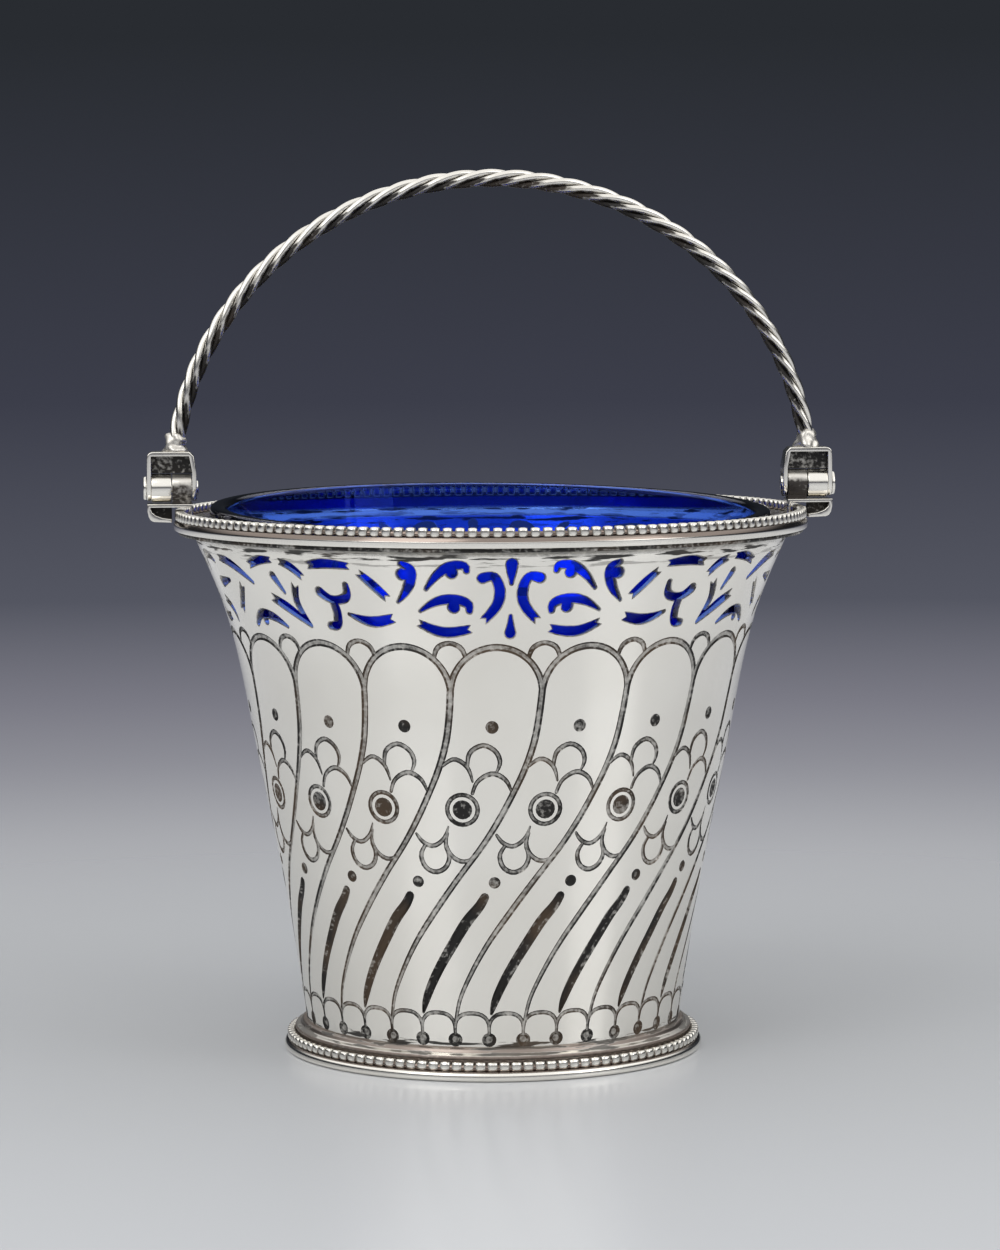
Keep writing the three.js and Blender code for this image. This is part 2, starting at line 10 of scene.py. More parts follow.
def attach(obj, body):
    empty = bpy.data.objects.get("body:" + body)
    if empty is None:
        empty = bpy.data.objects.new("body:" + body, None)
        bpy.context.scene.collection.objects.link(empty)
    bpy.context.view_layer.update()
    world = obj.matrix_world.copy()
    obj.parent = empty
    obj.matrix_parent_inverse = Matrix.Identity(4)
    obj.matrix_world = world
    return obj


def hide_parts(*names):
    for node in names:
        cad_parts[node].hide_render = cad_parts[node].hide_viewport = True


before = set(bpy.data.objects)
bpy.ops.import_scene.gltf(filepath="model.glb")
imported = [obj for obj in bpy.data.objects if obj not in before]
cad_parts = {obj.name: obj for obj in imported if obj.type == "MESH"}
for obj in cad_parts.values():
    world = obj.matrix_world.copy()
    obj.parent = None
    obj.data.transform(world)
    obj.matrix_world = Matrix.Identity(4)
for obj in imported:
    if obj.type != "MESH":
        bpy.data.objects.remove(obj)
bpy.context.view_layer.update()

mm = 0.001


# sRGB hex to the linear colour that sockets take
def linearColour(hexText):
    channels = [int(hexText[i:i + 2], 16) / 255 for i in (1, 3, 5)]
    bent = [c / 12.92 if c <= 0.04045 else ((c + 0.055) / 1.055) ** 2.4 for c in channels]
    return (*bent, 1)


# One node, with its properties, the values of its open sockets and its links
def addNode(tree, kind, settings=None, values=None, links=None):
    node = tree.nodes.new(kind)
    for name, value in (settings or {}).items():
        setattr(node, name, value)
    for socket, value in (values or {}).items():
        node.inputs[socket].default_value = value
    for socket, source in (links or {}).items():
        tree.links.new(source, node.inputs[socket])
    return node


def newMaterial(name):
    material = bpy.data.materials.new(name)
    material.use_nodes = True
    tree = material.node_tree
    tree.nodes.clear()
    return material, tree


# Hand-polished sterling silver. Old polish leaves fine swirl scratches and a soft unevenness,
# and black sulphide stays wherever the cloth can't reach, which one attribute marks; the same
# attribute also paints the sulphide's black as shade into gaps, recesses and under overhangs.
# Where the cloth only brushes past, a thin brown-pink film is left, marked by "film".
silverSizes = {
    "bright": "#f0ede6",
    "worn": "#e3dfd6",
    "sulphide": "#1b1917",
    "sulphideBrown": "#4b3c2d",
    "film": "#80736b",
    "smudge": 14,        # across one patch of wear
    "scratch": 0.35,     # between two polishing scratches, drawn coarser than the real ones
    "hammer": 9,         # across one soft hollow that planishing left
    "speck": 0.55,       # across one speck of sulphide
    "patch": 3.85,       # across one patch of it
    "specks": (0.3, 0.7, 0.55, 1.35),     # range of the noise, and what it makes of the black
    "patches": (0.35, 0.65, 0.75, 1.2),
    "streak": (5, 0.5),  # length and height of one streak of sulphide beside a moulding
    "streakSpread": 0.2,  # how fast streaks thin out away from the middle of their line
    "streakEdge": (0.46, 0.53),
    "brownEdge": (0.5, 0.62),
    "polish": (0.75, 1.3),    # of the roughness, where the metal is fresh and where it is worn
    "crustRoughness": 0.55,
    "crustMetallic": 0.35,
    "scratchDepth": 0.0012,
}


# Lines of sulphide round the pail, broken into streaks, some of them also painted shade: height,
# reach up and down, how black
def sulphideAndShadeLines(tree, coords, streaks):
    sizes = silverSizes
    long, tall = sizes["streak"]
    stretched = addNode(
        tree, "ShaderNodeVectorMath", {"operation": "MULTIPLY"},
        values={1: (1 / (long * mm), 1 / (long * mm), 1 / (tall * mm))}, links={0: coords},
    ).outputs[0]
    grain = addNode(
        tree, "ShaderNodeTexNoise", values={"Scale": 1.0, "Detail": 3}, links={"Vector": stretched}
    ).outputs["Fac"]
    height = addNode(tree, "ShaderNodeSeparateXYZ", links={"Vector": coords}).outputs["Z"]
    low, high = sizes["streakEdge"]
    lines = None
    for middle, reach, black in streaks:
        above = addNode(
            tree, "ShaderNodeMath", {"operation": "SUBTRACT"}, values={1: middle * mm},
            links={0: height},
        ).outputs[0]
        away = addNode(tree, "ShaderNodeMath", {"operation": "ABSOLUTE"}, links={0: above})
        level = addNode(
            tree, "ShaderNodeMath", {"operation": "MULTIPLY_ADD"},
            values={1: -sizes["streakSpread"] / (reach * mm)},
            links={0: away.outputs[0], 2: grain},
        ).outputs[0]
        streak = addNode(
            tree, "ShaderNodeMapRange",
            values={"From Min": low, "From Max": high, "To Max": black}, links={"Value": level},
        ).outputs["Result"]
        lines = streak if lines is None else addNode(
            tree, "ShaderNodeMath", {"operation": "MAXIMUM"}, links={0: lines, 1: streak}
        ).outputs[0]
    return lines


# Brown is how far the sulphide turns from black to brown where it is thin
def silverMaterial(name, roughness, stain, hammerDepth=0.05, streaks=(), brown=0.3):
    material, tree = newMaterial(name)
    sizes = silverSizes
    coords = addNode(tree, "ShaderNodeTexCoord").outputs["Object"]
    clouds = {}
    for label, detail, distortion in (
        ("smudge", 4, 0), ("scratch", 3, 2.5), ("speck", 5, 0), ("patch", 2, 0), ("hammer", 1, 0),
    ):
        clouds[label] = addNode(
            tree, "ShaderNodeTexNoise",
            values={"Scale": 1 / (sizes[label] * mm), "Detail": detail, "Distortion": distortion},
            links={"Vector": coords},
        ).outputs["Fac"]
    wear = clouds["smudge"]
    mark = addNode(tree, "ShaderNodeAttribute", {"attribute_name": "tarnishAndShade"}).outputs["Fac"]
    uneven = []
    for label, (low, high, least, most) in (
        ("speck", sizes["specks"]), ("patch", sizes["patches"]),
    ):
        uneven.append(addNode(
            tree, "ShaderNodeMapRange",
            values={"From Min": low, "From Max": high, "To Min": least, "To Max": most},
            links={"Value": clouds[label]},
        ).outputs["Result"])
    broken = addNode(
        tree, "ShaderNodeMath", {"operation": "MULTIPLY"}, links={0: uneven[0], 1: uneven[1]}
    ).outputs[0]
    dark = addNode(
        tree, "ShaderNodeMath", {"operation": "MULTIPLY", "use_clamp": True},
        links={0: mark, 1: broken},
    ).outputs[0]
    if streaks:
        lines = sulphideAndShadeLines(tree, coords, streaks)
        dark = addNode(
            tree, "ShaderNodeMath", {"operation": "MAXIMUM"}, links={0: dark, 1: lines}
        ).outputs[0]
    tint = addNode(
        tree, "ShaderNodeMix", {"data_type": "RGBA"},
        values={"A": linearColour(sizes["bright"]), "B": linearColour(sizes["worn"])},
        links={"Factor": wear},
    ).outputs["Result"]
    low, high = sizes["brownEdge"]
    browned = addNode(
        tree, "ShaderNodeMapRange", values={"From Min": low, "From Max": high, "To Max": brown},
        links={"Value": wear},
    ).outputs["Result"]
    crust = addNode(
        tree, "ShaderNodeMix", {"data_type": "RGBA"},
        values={"A": linearColour(sizes["sulphide"]), "B": linearColour(sizes["sulphideBrown"])},
        links={"Factor": browned},
    ).outputs["Result"]
    colour = addNode(
        tree, "ShaderNodeMix", {"data_type": "RGBA"}, links={"Factor": dark, "A": tint, "B": crust}
    ).outputs["Result"]
    filmMark = addNode(tree, "ShaderNodeAttribute", {"attribute_name": "film"}).outputs["Fac"]
    filmShare = addNode(
        tree, "ShaderNodeMath", {"operation": "MAXIMUM"}, values={1: stain}, links={0: filmMark}
    ).outputs[0]
    if streaks:
        clear = addNode(
            tree, "ShaderNodeMapRange", values={"To Min": 1.0, "To Max": 0.0},
            links={"Value": lines},
        ).outputs["Result"]
        filmShare = addNode(
            tree, "ShaderNodeMath", {"operation": "MULTIPLY"}, links={0: filmShare, 1: clear}
        ).outputs[0]
    film = addNode(
        tree, "ShaderNodeMix", {"data_type": "RGBA"}, values={"B": linearColour(sizes["film"])},
        links={"Factor": filmShare, "A": colour},
    ).outputs["Result"]
    fresh, dull = sizes["polish"]
    worn = addNode(
        tree, "ShaderNodeMapRange",
        values={"To Min": roughness * fresh, "To Max": roughness * dull}, links={"Value": wear},
    ).outputs["Result"]
    rough = addNode(
        tree, "ShaderNodeMix", {"data_type": "FLOAT"}, values={"B": sizes["crustRoughness"]},
        links={"Factor": dark, "A": worn},
    ).outputs["Result"]
    metallic = addNode(
        tree, "ShaderNodeMapRange", values={"To Min": 1.0, "To Max": sizes["crustMetallic"]},
        links={"Value": dark},
    ).outputs["Result"]
    hollows = addNode(
        tree, "ShaderNodeBump", values={"Strength": 1.0, "Distance": hammerDepth * mm},
        links={"Height": clouds["hammer"]},
    ).outputs["Normal"]
    scratched = addNode(
        tree, "ShaderNodeBump", values={"Strength": 1.0, "Distance": sizes["scratchDepth"] * mm},
        links={"Height": clouds["scratch"], "Normal": hollows},
    ).outputs["Normal"]
    shader = addNode(
        tree, "ShaderNodeBsdfPrincipled",
        links={
            "Base Color": film, "Roughness": rough, "Metallic": metallic, "Normal": scratched,
        },
    )
    addNode(tree, "ShaderNodeOutputMaterial", links={"Surface": shader.outputs["BSDF"]})
    return material


# Cobalt soda-lime glass, blown into a mould and its rim ground: smooth, with faint waves.
# The colour is in the mass, so the thick rim is nearly black and the wall is bright blue.
glassSizes = {
    "wave": 11,           # across one wave of the blown wall
    "waveDepth": 0.06,
    "roughness": 0.03,
    "refraction": 1.52,
    "through": 1100,      # density of the stain
    "stain": "#42a6f5",
    "glint": "#3c64ff",
}


def glassMaterial():
    material, tree = newMaterial("cobaltSodaGlassBlown")
    coords = addNode(tree, "ShaderNodeTexCoord").outputs["Object"]
    waves = addNode(
        tree, "ShaderNodeTexNoise", values={"Scale": 1 / (glassSizes["wave"] * mm), "Detail": 1},
        links={"Vector": coords},
    ).outputs["Fac"]
    uneven = addNode(
        tree, "ShaderNodeBump",
        values={"Strength": 1.0, "Distance": glassSizes["waveDepth"] * mm},
        links={"Height": waves},
    ).outputs["Normal"]
    shader = addNode(
        tree, "ShaderNodeBsdfPrincipled",
        values={
            "Base Color": (1, 1, 1, 1), "Roughness": glassSizes["roughness"],
            "IOR": glassSizes["refraction"], "Transmission Weight": 1.0,
            "Specular Tint": linearColour(glassSizes["glint"]),
        },
        links={"Normal": uneven},
    )
    depth = addNode(
        tree, "ShaderNodeVolumeAbsorption",
        values={"Color": linearColour(glassSizes["stain"]), "Density": glassSizes["through"]},
    )
    addNode(
        tree, "ShaderNodeOutputMaterial",
        links={"Surface": shader.outputs["BSDF"], "Volume": depth.outputs["Volume"]},
    )
    return material


silver = silverMaterial("sterlingSilverPolished", 0.17, 0.0)
# Streaks of sulphide; those at 71.9 and 72.5, in the lip's hollow and right under the rim band, also
# paint the shade of the band's overhang
wallSilver = silverMaterial(
    "sterlingSilverPierced", 0.17, 0.0, brown=1.0, streaks=[
        (71.9, 1.6, 0.45), (71.25, 0.8, 0.95), (72.5, 0.45, 1.0), (70.2, 0.6, 0.4),
        (4.55, 0.8, 0.95),
    ],
)
stainedSilver = silverMaterial("sterlingSilverStained", 0.27, 0.12, 0.02)
turnedSilver = silverMaterial(
    "sterlingSilverTurned", 0.27, 0.12, 0.02, brown=0.6,
    streaks=[(4.12, 0.5, 0.9), (3.45, 0.35, 0.8), (2.85, 0.4, 0.5)],
)
wireSilver = silverMaterial("sterlingSilverDrawnWire", 0.2, 0.03, 0.01)
cobaltGlass = glassMaterial()
print("materials ready")


# Values of a smooth curve through stations, by cubic pieces whose slopes average their chords
def through(stations, values, places):
    stations = np.asarray(stations, float)
    values = np.asarray(values, float)
    places = np.asarray(places, float)
    gaps = np.diff(stations)
    shape = (-1,) + (1,) * (values.ndim - 1)
    chords = np.diff(values, axis=0) / gaps.reshape(shape)
    slopes = np.empty_like(values)
    slopes[1:-1] = (chords[1:] + chords[:-1]) / 2
    slopes[0] = 1.5 * chords[0] - 0.5 * (slopes[1] if len(values) > 2 else chords[0])
    slopes[-1] = 1.5 * chords[-1] - 0.5 * (slopes[-2] if len(values) > 2 else chords[-1])
    piece = np.clip(np.searchsorted(stations, places) - 1, 0, len(gaps) - 1)
    gap = gaps[piece]
    t = (np.clip(places, stations[0], stations[-1]) - stations[piece]) / gap
    shape = (-1,) + (1,) * (values.ndim - 1) if places.ndim else ()
    t, gap = t.reshape(shape), gap.reshape(shape)
    start = (2 * t ** 3 - 3 * t ** 2 + 1) * values[piece]
    start = start + (t ** 3 - 2 * t ** 2 + t) * gap * slopes[piece]
    end = (3 * t ** 2 - 2 * t ** 3) * values[piece + 1]
    return start + end + (t ** 3 - t ** 2) * gap * slopes[piece + 1]


# Any mesh, curve, lamp or camera as an object in the scene
def objectOf(name, data):
    piece = bpy.data.objects.new(name, data)
    bpy.context.scene.collection.objects.link(piece)
    return piece


# A mesh object in metres from points in millimetres
def meshObject(name, points, faces, material, smooth=True):
    mesh = bpy.data.meshes.new(name)
    mesh.from_pydata((np.asarray(points) * mm).tolist(), [], faces)
    mesh.materials.append(material)
    mesh.polygons.foreach_set("use_smooth", [smooth] * len(mesh.polygons))
    mesh.update()
    return objectOf(name, mesh)


# Puts a finished piece in the place of a CAD node, on the body that it moves with
def dress(piece, node, body):
    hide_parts(node)
    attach(piece, body)


# Raised wall of the pail
wallSizes = {
    "stations": [(4.2, 26.1), (20.2, 28.5), (41.2, 32.6), (61, 36.8), (71.4, 41)],
    "thickness": 0.95,
    "engravedTop": 60.22,
    "lipReach": 2.6,
    "lipRise": 0.75,
    "lipThickness": 0.55,
    "lipShadeAndTarnish": [0.3, 0.4, 0.5, 0.55, 0.6, 0.7, 1.0, 1.0, 0.3, 0.03, 0.03],  # from the wall outwards; under the rim band this is painted shade with sulphide
    "insideStations": (45, 30, 17),
    "insideBlack": 0.15,
    "footBlack": 0.6,
    "step": 0.5,          # degrees between stations of the rings that join zones
}


def wallRadius(height):
    heights, radii = zip(*wallSizes["stations"])
    return through(heights, radii, height)


wallFoot = wallSizes["stations"][0][0]
wallTop = wallSizes["stations"][-1][0]


def wallSlope(height):
    return (wallRadius(height + 0.1) - wallRadius(height - 0.1)) / 0.2


# Points round the pail, from angles in radians from the front towards +X
def roundPail(angle, radius, height):
    height = np.broadcast_to(height, np.shape(angle))
    return np.stack([radius * np.sin(angle), -radius * np.cos(angle), height], 1)


# Points on the wall from angles, heights and depths in it
def onWall(angle, height, depth):
    slope = wallSlope(height)
    lean = np.sqrt(1 + slope ** 2)
    return roundPail(angle, wallRadius(height) - depth / lean, height + depth * slope / lean)


# Engraved panel, drawn once and repeated round the wall. Points are degrees from the middle of
# the panel's arch, height, and width of the line there.
panel = {
    "count": 18,
    "middle": -2.8,       # of the first arch, in degrees from the front
    "lineDepth": 0.16,
    "floorShare": 0.46,   # of a line's width that is its flat bottom
    "spacing": 0.55,      # between stations along a line
    "facet": 1.7,         # between points of the plain metal
    "clearance": 0.4,     # from a line to the nearest of these points
    "flankBlack": 1.15,   # of a line's sides
    "half": 10,           # degrees from the middle of an arch to its side
    "heart": (-8.2, 37.15),
    "ring": (3.68, 2.05, 0.62),       # round the heart: degrees, height and width
    "junctions": (-42.2, -52.2),      # where the scallops of the foot meet
    "scale": 32,          # millimetres to a radian, where the panel is cut into triangles
}
turn = 360 / panel["count"]
swirl = [
    (0, 53.6, 1), (-0.5, 50, 1), (-1.5, 46.3, 1), (-3.4, 42.8, 0.95), (-6.4, 39, 0.9),
    (-9.7, 35.5, 0.9), (-13.5, 32.2, 0.85), (-19.4, 28, 0.85), (-27.1, 22.5, 0.85),
    (-32.4, 18.6, 0.75), (-37.4, 14.2, 0.65), (-40.5, 10.8, 0.55), (-41.7, 8.3, 0.5),
    (-42.2, 6.9, 0.5),
]
bigArch = [
    (-10, 53.5, 1), (-9.2, 55.3, 0.95), (-7.2, 57.2, 0.9), (-4, 58.65, 0.95), (0, 59.2, 1),
    (4, 58.65, 0.95), (7.2, 57.2, 0.9), (9.2, 55.3, 0.95), (10, 53.5, 1),
]
smallArch = [
    (-3.2, 57.8, 0.6), (-2.3, 59.15, 0.75), (0.1, 59.75, 0.7), (2.5, 59.15, 0.75), (3.5, 57.8, 0.6),
]
flower = [
    [(-6.7, 43.2, 0.5), (-6, 45, 0.7), (-3, 45.95, 0.7), (-0.2, 45.1, 0.7), (0.8, 43.7, 0.65),
     (0, 42.3, 0.35)],
    [(-5.7, 39.4, 0.5), (-4.3, 41.1, 0.6), (-0.9, 42.1, 0.72), (2, 41.3, 0.65), (3.4, 39.8, 0.4)],
    [(-12.5, 43.1, 0.45), (-9.7, 44.05, 0.65), (-7, 43.15, 0.65), (-5.6, 41, 0.3)],
    [(-20, 33.7, 0.4), (-18.2, 32.5, 0.65), (-15.9, 32.1, 0.65), (-13.3, 33, 0.6),
     (-11.8, 34.8, 0.25)],
    [(-12, 33.9, 0.35), (-12.6, 32.3, 0.6), (-11.2, 30.75, 0.65), (-8.6, 30, 0.65),
     (-6.1, 30.4, 0.4)],
    [(-18, 32.1, 0.5), (-19.2, 30.8, 0.65), (-18.2, 29.15, 0.7), (-15.8, 28.5, 0.72),
     (-13.1, 29.1, 0.7), (-11.9, 30.5, 0.65), (-12.7, 32, 0.5)],
]
stripe = [
    (-23.1, 25.1, 1.2), (-24.3, 24, 1.35), (-27.7, 21.85, 1.5), (-31.7, 18.7, 1.45),
    (-35.5, 15.6, 1.35), (-38.5, 12.85, 1.25), (-40.6, 10.45, 1.0), (-41.5, 8.9, 0.4),
]
scallop = [
    (-5, 6.9, 0.45), (-4.5, 7.95, 0.55), (-2.9, 8.7, 0.6), (0, 8.95, 0.62), (2.9, 8.7, 0.6),
    (4.5, 7.95, 0.55), (5, 6.9, 0.45),
]
stalk = [(0, 7, 0.5), (0, 6, 0.45)]


def shifted(points, by):
    return [(angle + by, height, width) for angle, height, width in points]


# Every line of one panel, as points, how deep it is cut and how black its flat bottom is
def panelLines():
    side = -panel["half"]
    lines = [(shifted(swirl, side), 1, 0.6), (bigArch, 1, 0.58), (shifted(smallArch, side), 1, 0.8)]
    lines += [(petal, 0.9, 0.7) for petal in flower]
    lines.append((stripe, 1.9, 1.6))
    lines += [([(-1, 48.4, 1.75)], 1.2, 0.95), ([(-20.5, 27.1, 1.6)], 1.2, 0.95)]
    angle, height = panel["heart"]
    wide, high, width = panel["ring"]
    lines.append(([(angle, height, 2.65)], 1.4, 1.2))
    ring = [(angle + wide * math.cos(a), height + high * math.sin(a), width)
            for a in np.linspace(0, 2 * math.pi, 25)]
    lines.append((ring, 1, 0.8))
    for junction in panel["junctions"]:
        lines.append((shifted(scallop, junction + panel["half"] / 2), 0.8, 0.7))
        lines.append((shifted(stalk, junction), 0.8, 0.8))
        lines.append(([(junction, 5.25, 1.95)], 1.2, 0.75))
    return lines


# A line's stations, evenly spaced along it: angle in radians, height, width
def lineStations(points, spacing):
    points = np.array(points, float)
    points[:, 0] = np.radians(points[:, 0])
    if len(points) == 1:
        return points
    radius = wallRadius(points[:, 1])
    across = np.diff(points[:, 0]) * (radius[1:] + radius[:-1]) / 2
    length = np.concatenate([[0], np.cumsum(np.hypot(across, np.diff(points[:, 1])))])
    count = max(2, math.ceil(length[-1] / spacing) + 1)
    return through(length, points, np.linspace(0, length[-1], count))


# Closed outline round a line at a share of its width, with round ends
def lineOutline(stations, share, corners=5):
    angle, height, width = stations.T
    radius = wallRadius(height)
    reach = width / 2 * share
    if len(stations) == 1:
        sweep = np.linspace(0, 2 * math.pi, 16, endpoint=False)
        return np.stack([angle + reach * np.cos(sweep) / radius, height + reach * np.sin(sweep)], 1)
    forward = np.stack([np.gradient(angle) * radius, np.gradient(height)], 1)
    forward /= np.linalg.norm(forward, axis=1)[:, None]
    side = np.stack([-forward[:, 1], forward[:, 0]], 1)

    def offset(index, by):
        return np.stack([angle[index] + by[:, 0] / radius[index], height[index] + by[:, 1]], 1)

    everywhere = np.arange(len(stations))
    left = offset(everywhere, side * reach[:, None])
    right = offset(everywhere, -side * reach[:, None])
    sweep = np.linspace(0, math.pi, corners + 1)[1:-1, None]
    end = reach[-1] * (side[-1] * np.cos(sweep) + forward[-1] * np.sin(sweep))
    start = reach[0] * (-side[0] * np.cos(sweep) - forward[0] * np.sin(sweep))
    endCap = offset(np.full(len(sweep), -1), end)
    startCap = offset(np.full(len(sweep), 0), start)
    return np.concatenate([left, endCap, right[::-1], startCap])


# Straight pieces of all lines: both ends, both widths, depth, blackness
def linePieces(lines):
    pieces = []
    for stations, depth, black in lines:
        ends = stations if len(stations) == 1 else stations[:-1]
        nexts = stations if len(stations) == 1 else stations[1:]
        extra = np.tile([depth, black], (len(ends), 1))
        pieces.append(np.hstack([ends, nexts, extra]))
    return np.concatenate(pieces)


# How deep the lines are at some places, and how black: flanks are blacker than flat bottoms
def cutAt(places, pieces):
    angle, height = places.T
    radius = wallRadius(height)[:, None]
    x0 = (pieces[:, 0] - angle[:, None]) * radius
    y0 = pieces[:, 1] - height[:, None]
    dx = (pieces[:, 3] - pieces[:, 0]) * radius
    dy = pieces[:, 4] - pieces[:, 1]
    along = np.clip(-(x0 * dx + y0 * dy) / (dx ** 2 + dy ** 2 + 1e-12), 0, 1)
    width = pieces[:, 2] + along * (pieces[:, 5] - pieces[:, 2])
    share = np.hypot(x0 + along * dx, y0 + along * dy) / (width / 2)
    cut = np.clip((1 - share) / (1 - panel["floorShare"]), 0, 1)
    depth = cut * pieces[:, 6]
    best = np.argmax(depth, axis=1)
    rows = np.arange(len(places))
    flank = cut[rows, best] < 0.999
    return depth[rows, best], np.where(flank, panel["flankBlack"], pieces[best, 7])


# Outlines and loose points to triangles. Places are angle and height, worked in millimetres.
def triangulated(outlines, loose, scale):
    points = []
    edges = []
    for outline, closed in outlines:
        first = len(points)
        points += [Vector((angle * scale, height)) for angle, height in outline]
        last = len(points) - 1
        edges += [(i, i + 1) for i in range(first, last)]
        if closed:
            edges.append((last, first))
    points += [Vector((angle * scale, height)) for angle, height in loose]
    found, _, faces, _, _, _ = delaunay_2d_cdt(points, edges, [], 0, 1e-5)
    places = np.array([(p.x / scale, p.y) for p in found])
    return places, np.array([face for face in faces if len(face) == 3])


def ringAngles(startDegrees, sweepDegrees):
    count = round(sweepDegrees / wallSizes["step"])
    return np.radians(startDegrees + np.arange(count + 1) * wallSizes["step"])


# One panel of the engraved wall: places, depths, triangles and how black each triangle is
def engravedPanel():
    middle, step = panel["middle"], math.radians(turn)
    left = shifted(swirl, middle - panel["half"])
    left = [(left[0][0], wallSizes["engravedTop"], 1), (left[0][0], 57, 1), *left,
            (left[-1][0], 5.6, 0.5), (left[-1][0], wallFoot, 0.5)]
    border = lineStations(left, panel["spacing"])[:, :2]
    border[0, 1] = wallSizes["engravedTop"]
    border[-1, 1] = wallFoot
    borderHeights, borderAngles = border[::-1, 1], border[::-1, 0]
    drawn = []
    for points, depth, black in panelLines():
        stations = lineStations(shifted(points, middle), panel["spacing"])
        for copy in (-1, 0, 1):
            drawn.append((stations + [copy * step, 0, 0], depth * panel["lineDepth"], black))
    near = math.radians(3.5)    # beyond the borders, where lines of the next panels still count

    def inStrip(places, margin):
        offset = places[:, 0] - np.interp(places[:, 1], borderHeights, borderAngles)
        return (offset > -margin) & (offset < step + margin)

    outlines = []
    for stations, _, _ in drawn:
        if not inStrip(stations, near).any():
            continue
        for share in (1, panel["floorShare"]):
            outline = lineOutline(stations, share)
            close = inStrip(outline, near)
            runs = np.split(np.arange(len(outline)), np.where(~close)[0])
            if close.all():
                outlines.append((outline, True))
                continue
            outlines += [(outline[run[close[run]]], False) for run in runs if close[run].sum() > 1]
    outlines += [(border, False), (border + [step, 0], False)]
    for end in (border[0], border[-1]):
        angles = ringAngles(math.degrees(end[0]), turn)
        outlines.append((np.stack([angles, np.full(len(angles), end[1])], 1), False))
    pieces = linePieces(drawn)
    facet = panel["facet"]
    loose = []
    for row, height in enumerate(np.arange(wallFoot + 0.8, wallSizes["engravedTop"] - 0.4, facet)):
        start = np.interp(height, borderHeights, borderAngles)
        gap = facet / wallRadius(height)
        shift = 0.5 * (row % 2)
        count = int((step - 0.5 * gap) / gap)
        loose += [(start + (i + 0.6 + shift) * gap, height) for i in range(count)]
    loose = np.array(loose)
    widened = pieces.copy()
    widened[:, [2, 5]] += 2 * panel["clearance"]
    widened[:, 6] = 1
    covered, _ = cutAt(loose, widened)
    loose = loose[(covered <= 0) & inStrip(loose, -math.radians(0.7))]
    places, faces = triangulated(outlines, loose, panel["scale"])
    centres = places[faces].mean(1)
    inside = inStrip(centres, 0) & (centres[:, 1] > wallFoot)
    inside &= centres[:, 1] < wallSizes["engravedTop"]
    faces = faces[inside]
    centres = centres[inside]
    depth, _ = cutAt(places, pieces)
    centreDepth, centreBlack = cutAt(centres, pieces)
    scratch = 0.004    # a shallower cut is left bright
    return places, depth, faces, np.where(centreDepth > scratch, centreBlack, 0)


# Openings of the pierced band, for a quarter of the way round: strokes of the piercing saw as
# millimetres along the band from its mirror line, height above the band's foot, and width.
band = {
    "foot": 60.25,
    "radius": 38.55,
    "start": 7.2,         # degrees where the strip is joined, clear of every opening
    "spacing": 0.4,
    "chamfer": 0.14,
    "chamferDepth": 0.07,
    "facet": 1.5,         # between points of the plain metal
    "clearance": 0.4,     # from an opening to the nearest of these points
    "edgeBlack": 0.7,     # of the chamfers, the inner face and the sawn walls
    "innerBlack": 0.12,
    "sawnBlack": 0.3,
}
onMirror = [
    {"stroke": [(0, 10.2, 1.5), (0, 9.1, 1.1), (0, 7.6, 0.4)]},
    {"stroke": [(0, 0.9, 1.5), (0, 1.9, 0.9), (0, 3.2, 0.4)]},
]
cScroll = {
    "stroke": [(3.7, 8.3, 1.3), (2.3, 8.5, 1.1), (1.5, 6.8, 1.3), (1.7, 5, 1.3), (3.5, 2.7, 1)],
    "notched": (False, True),
}
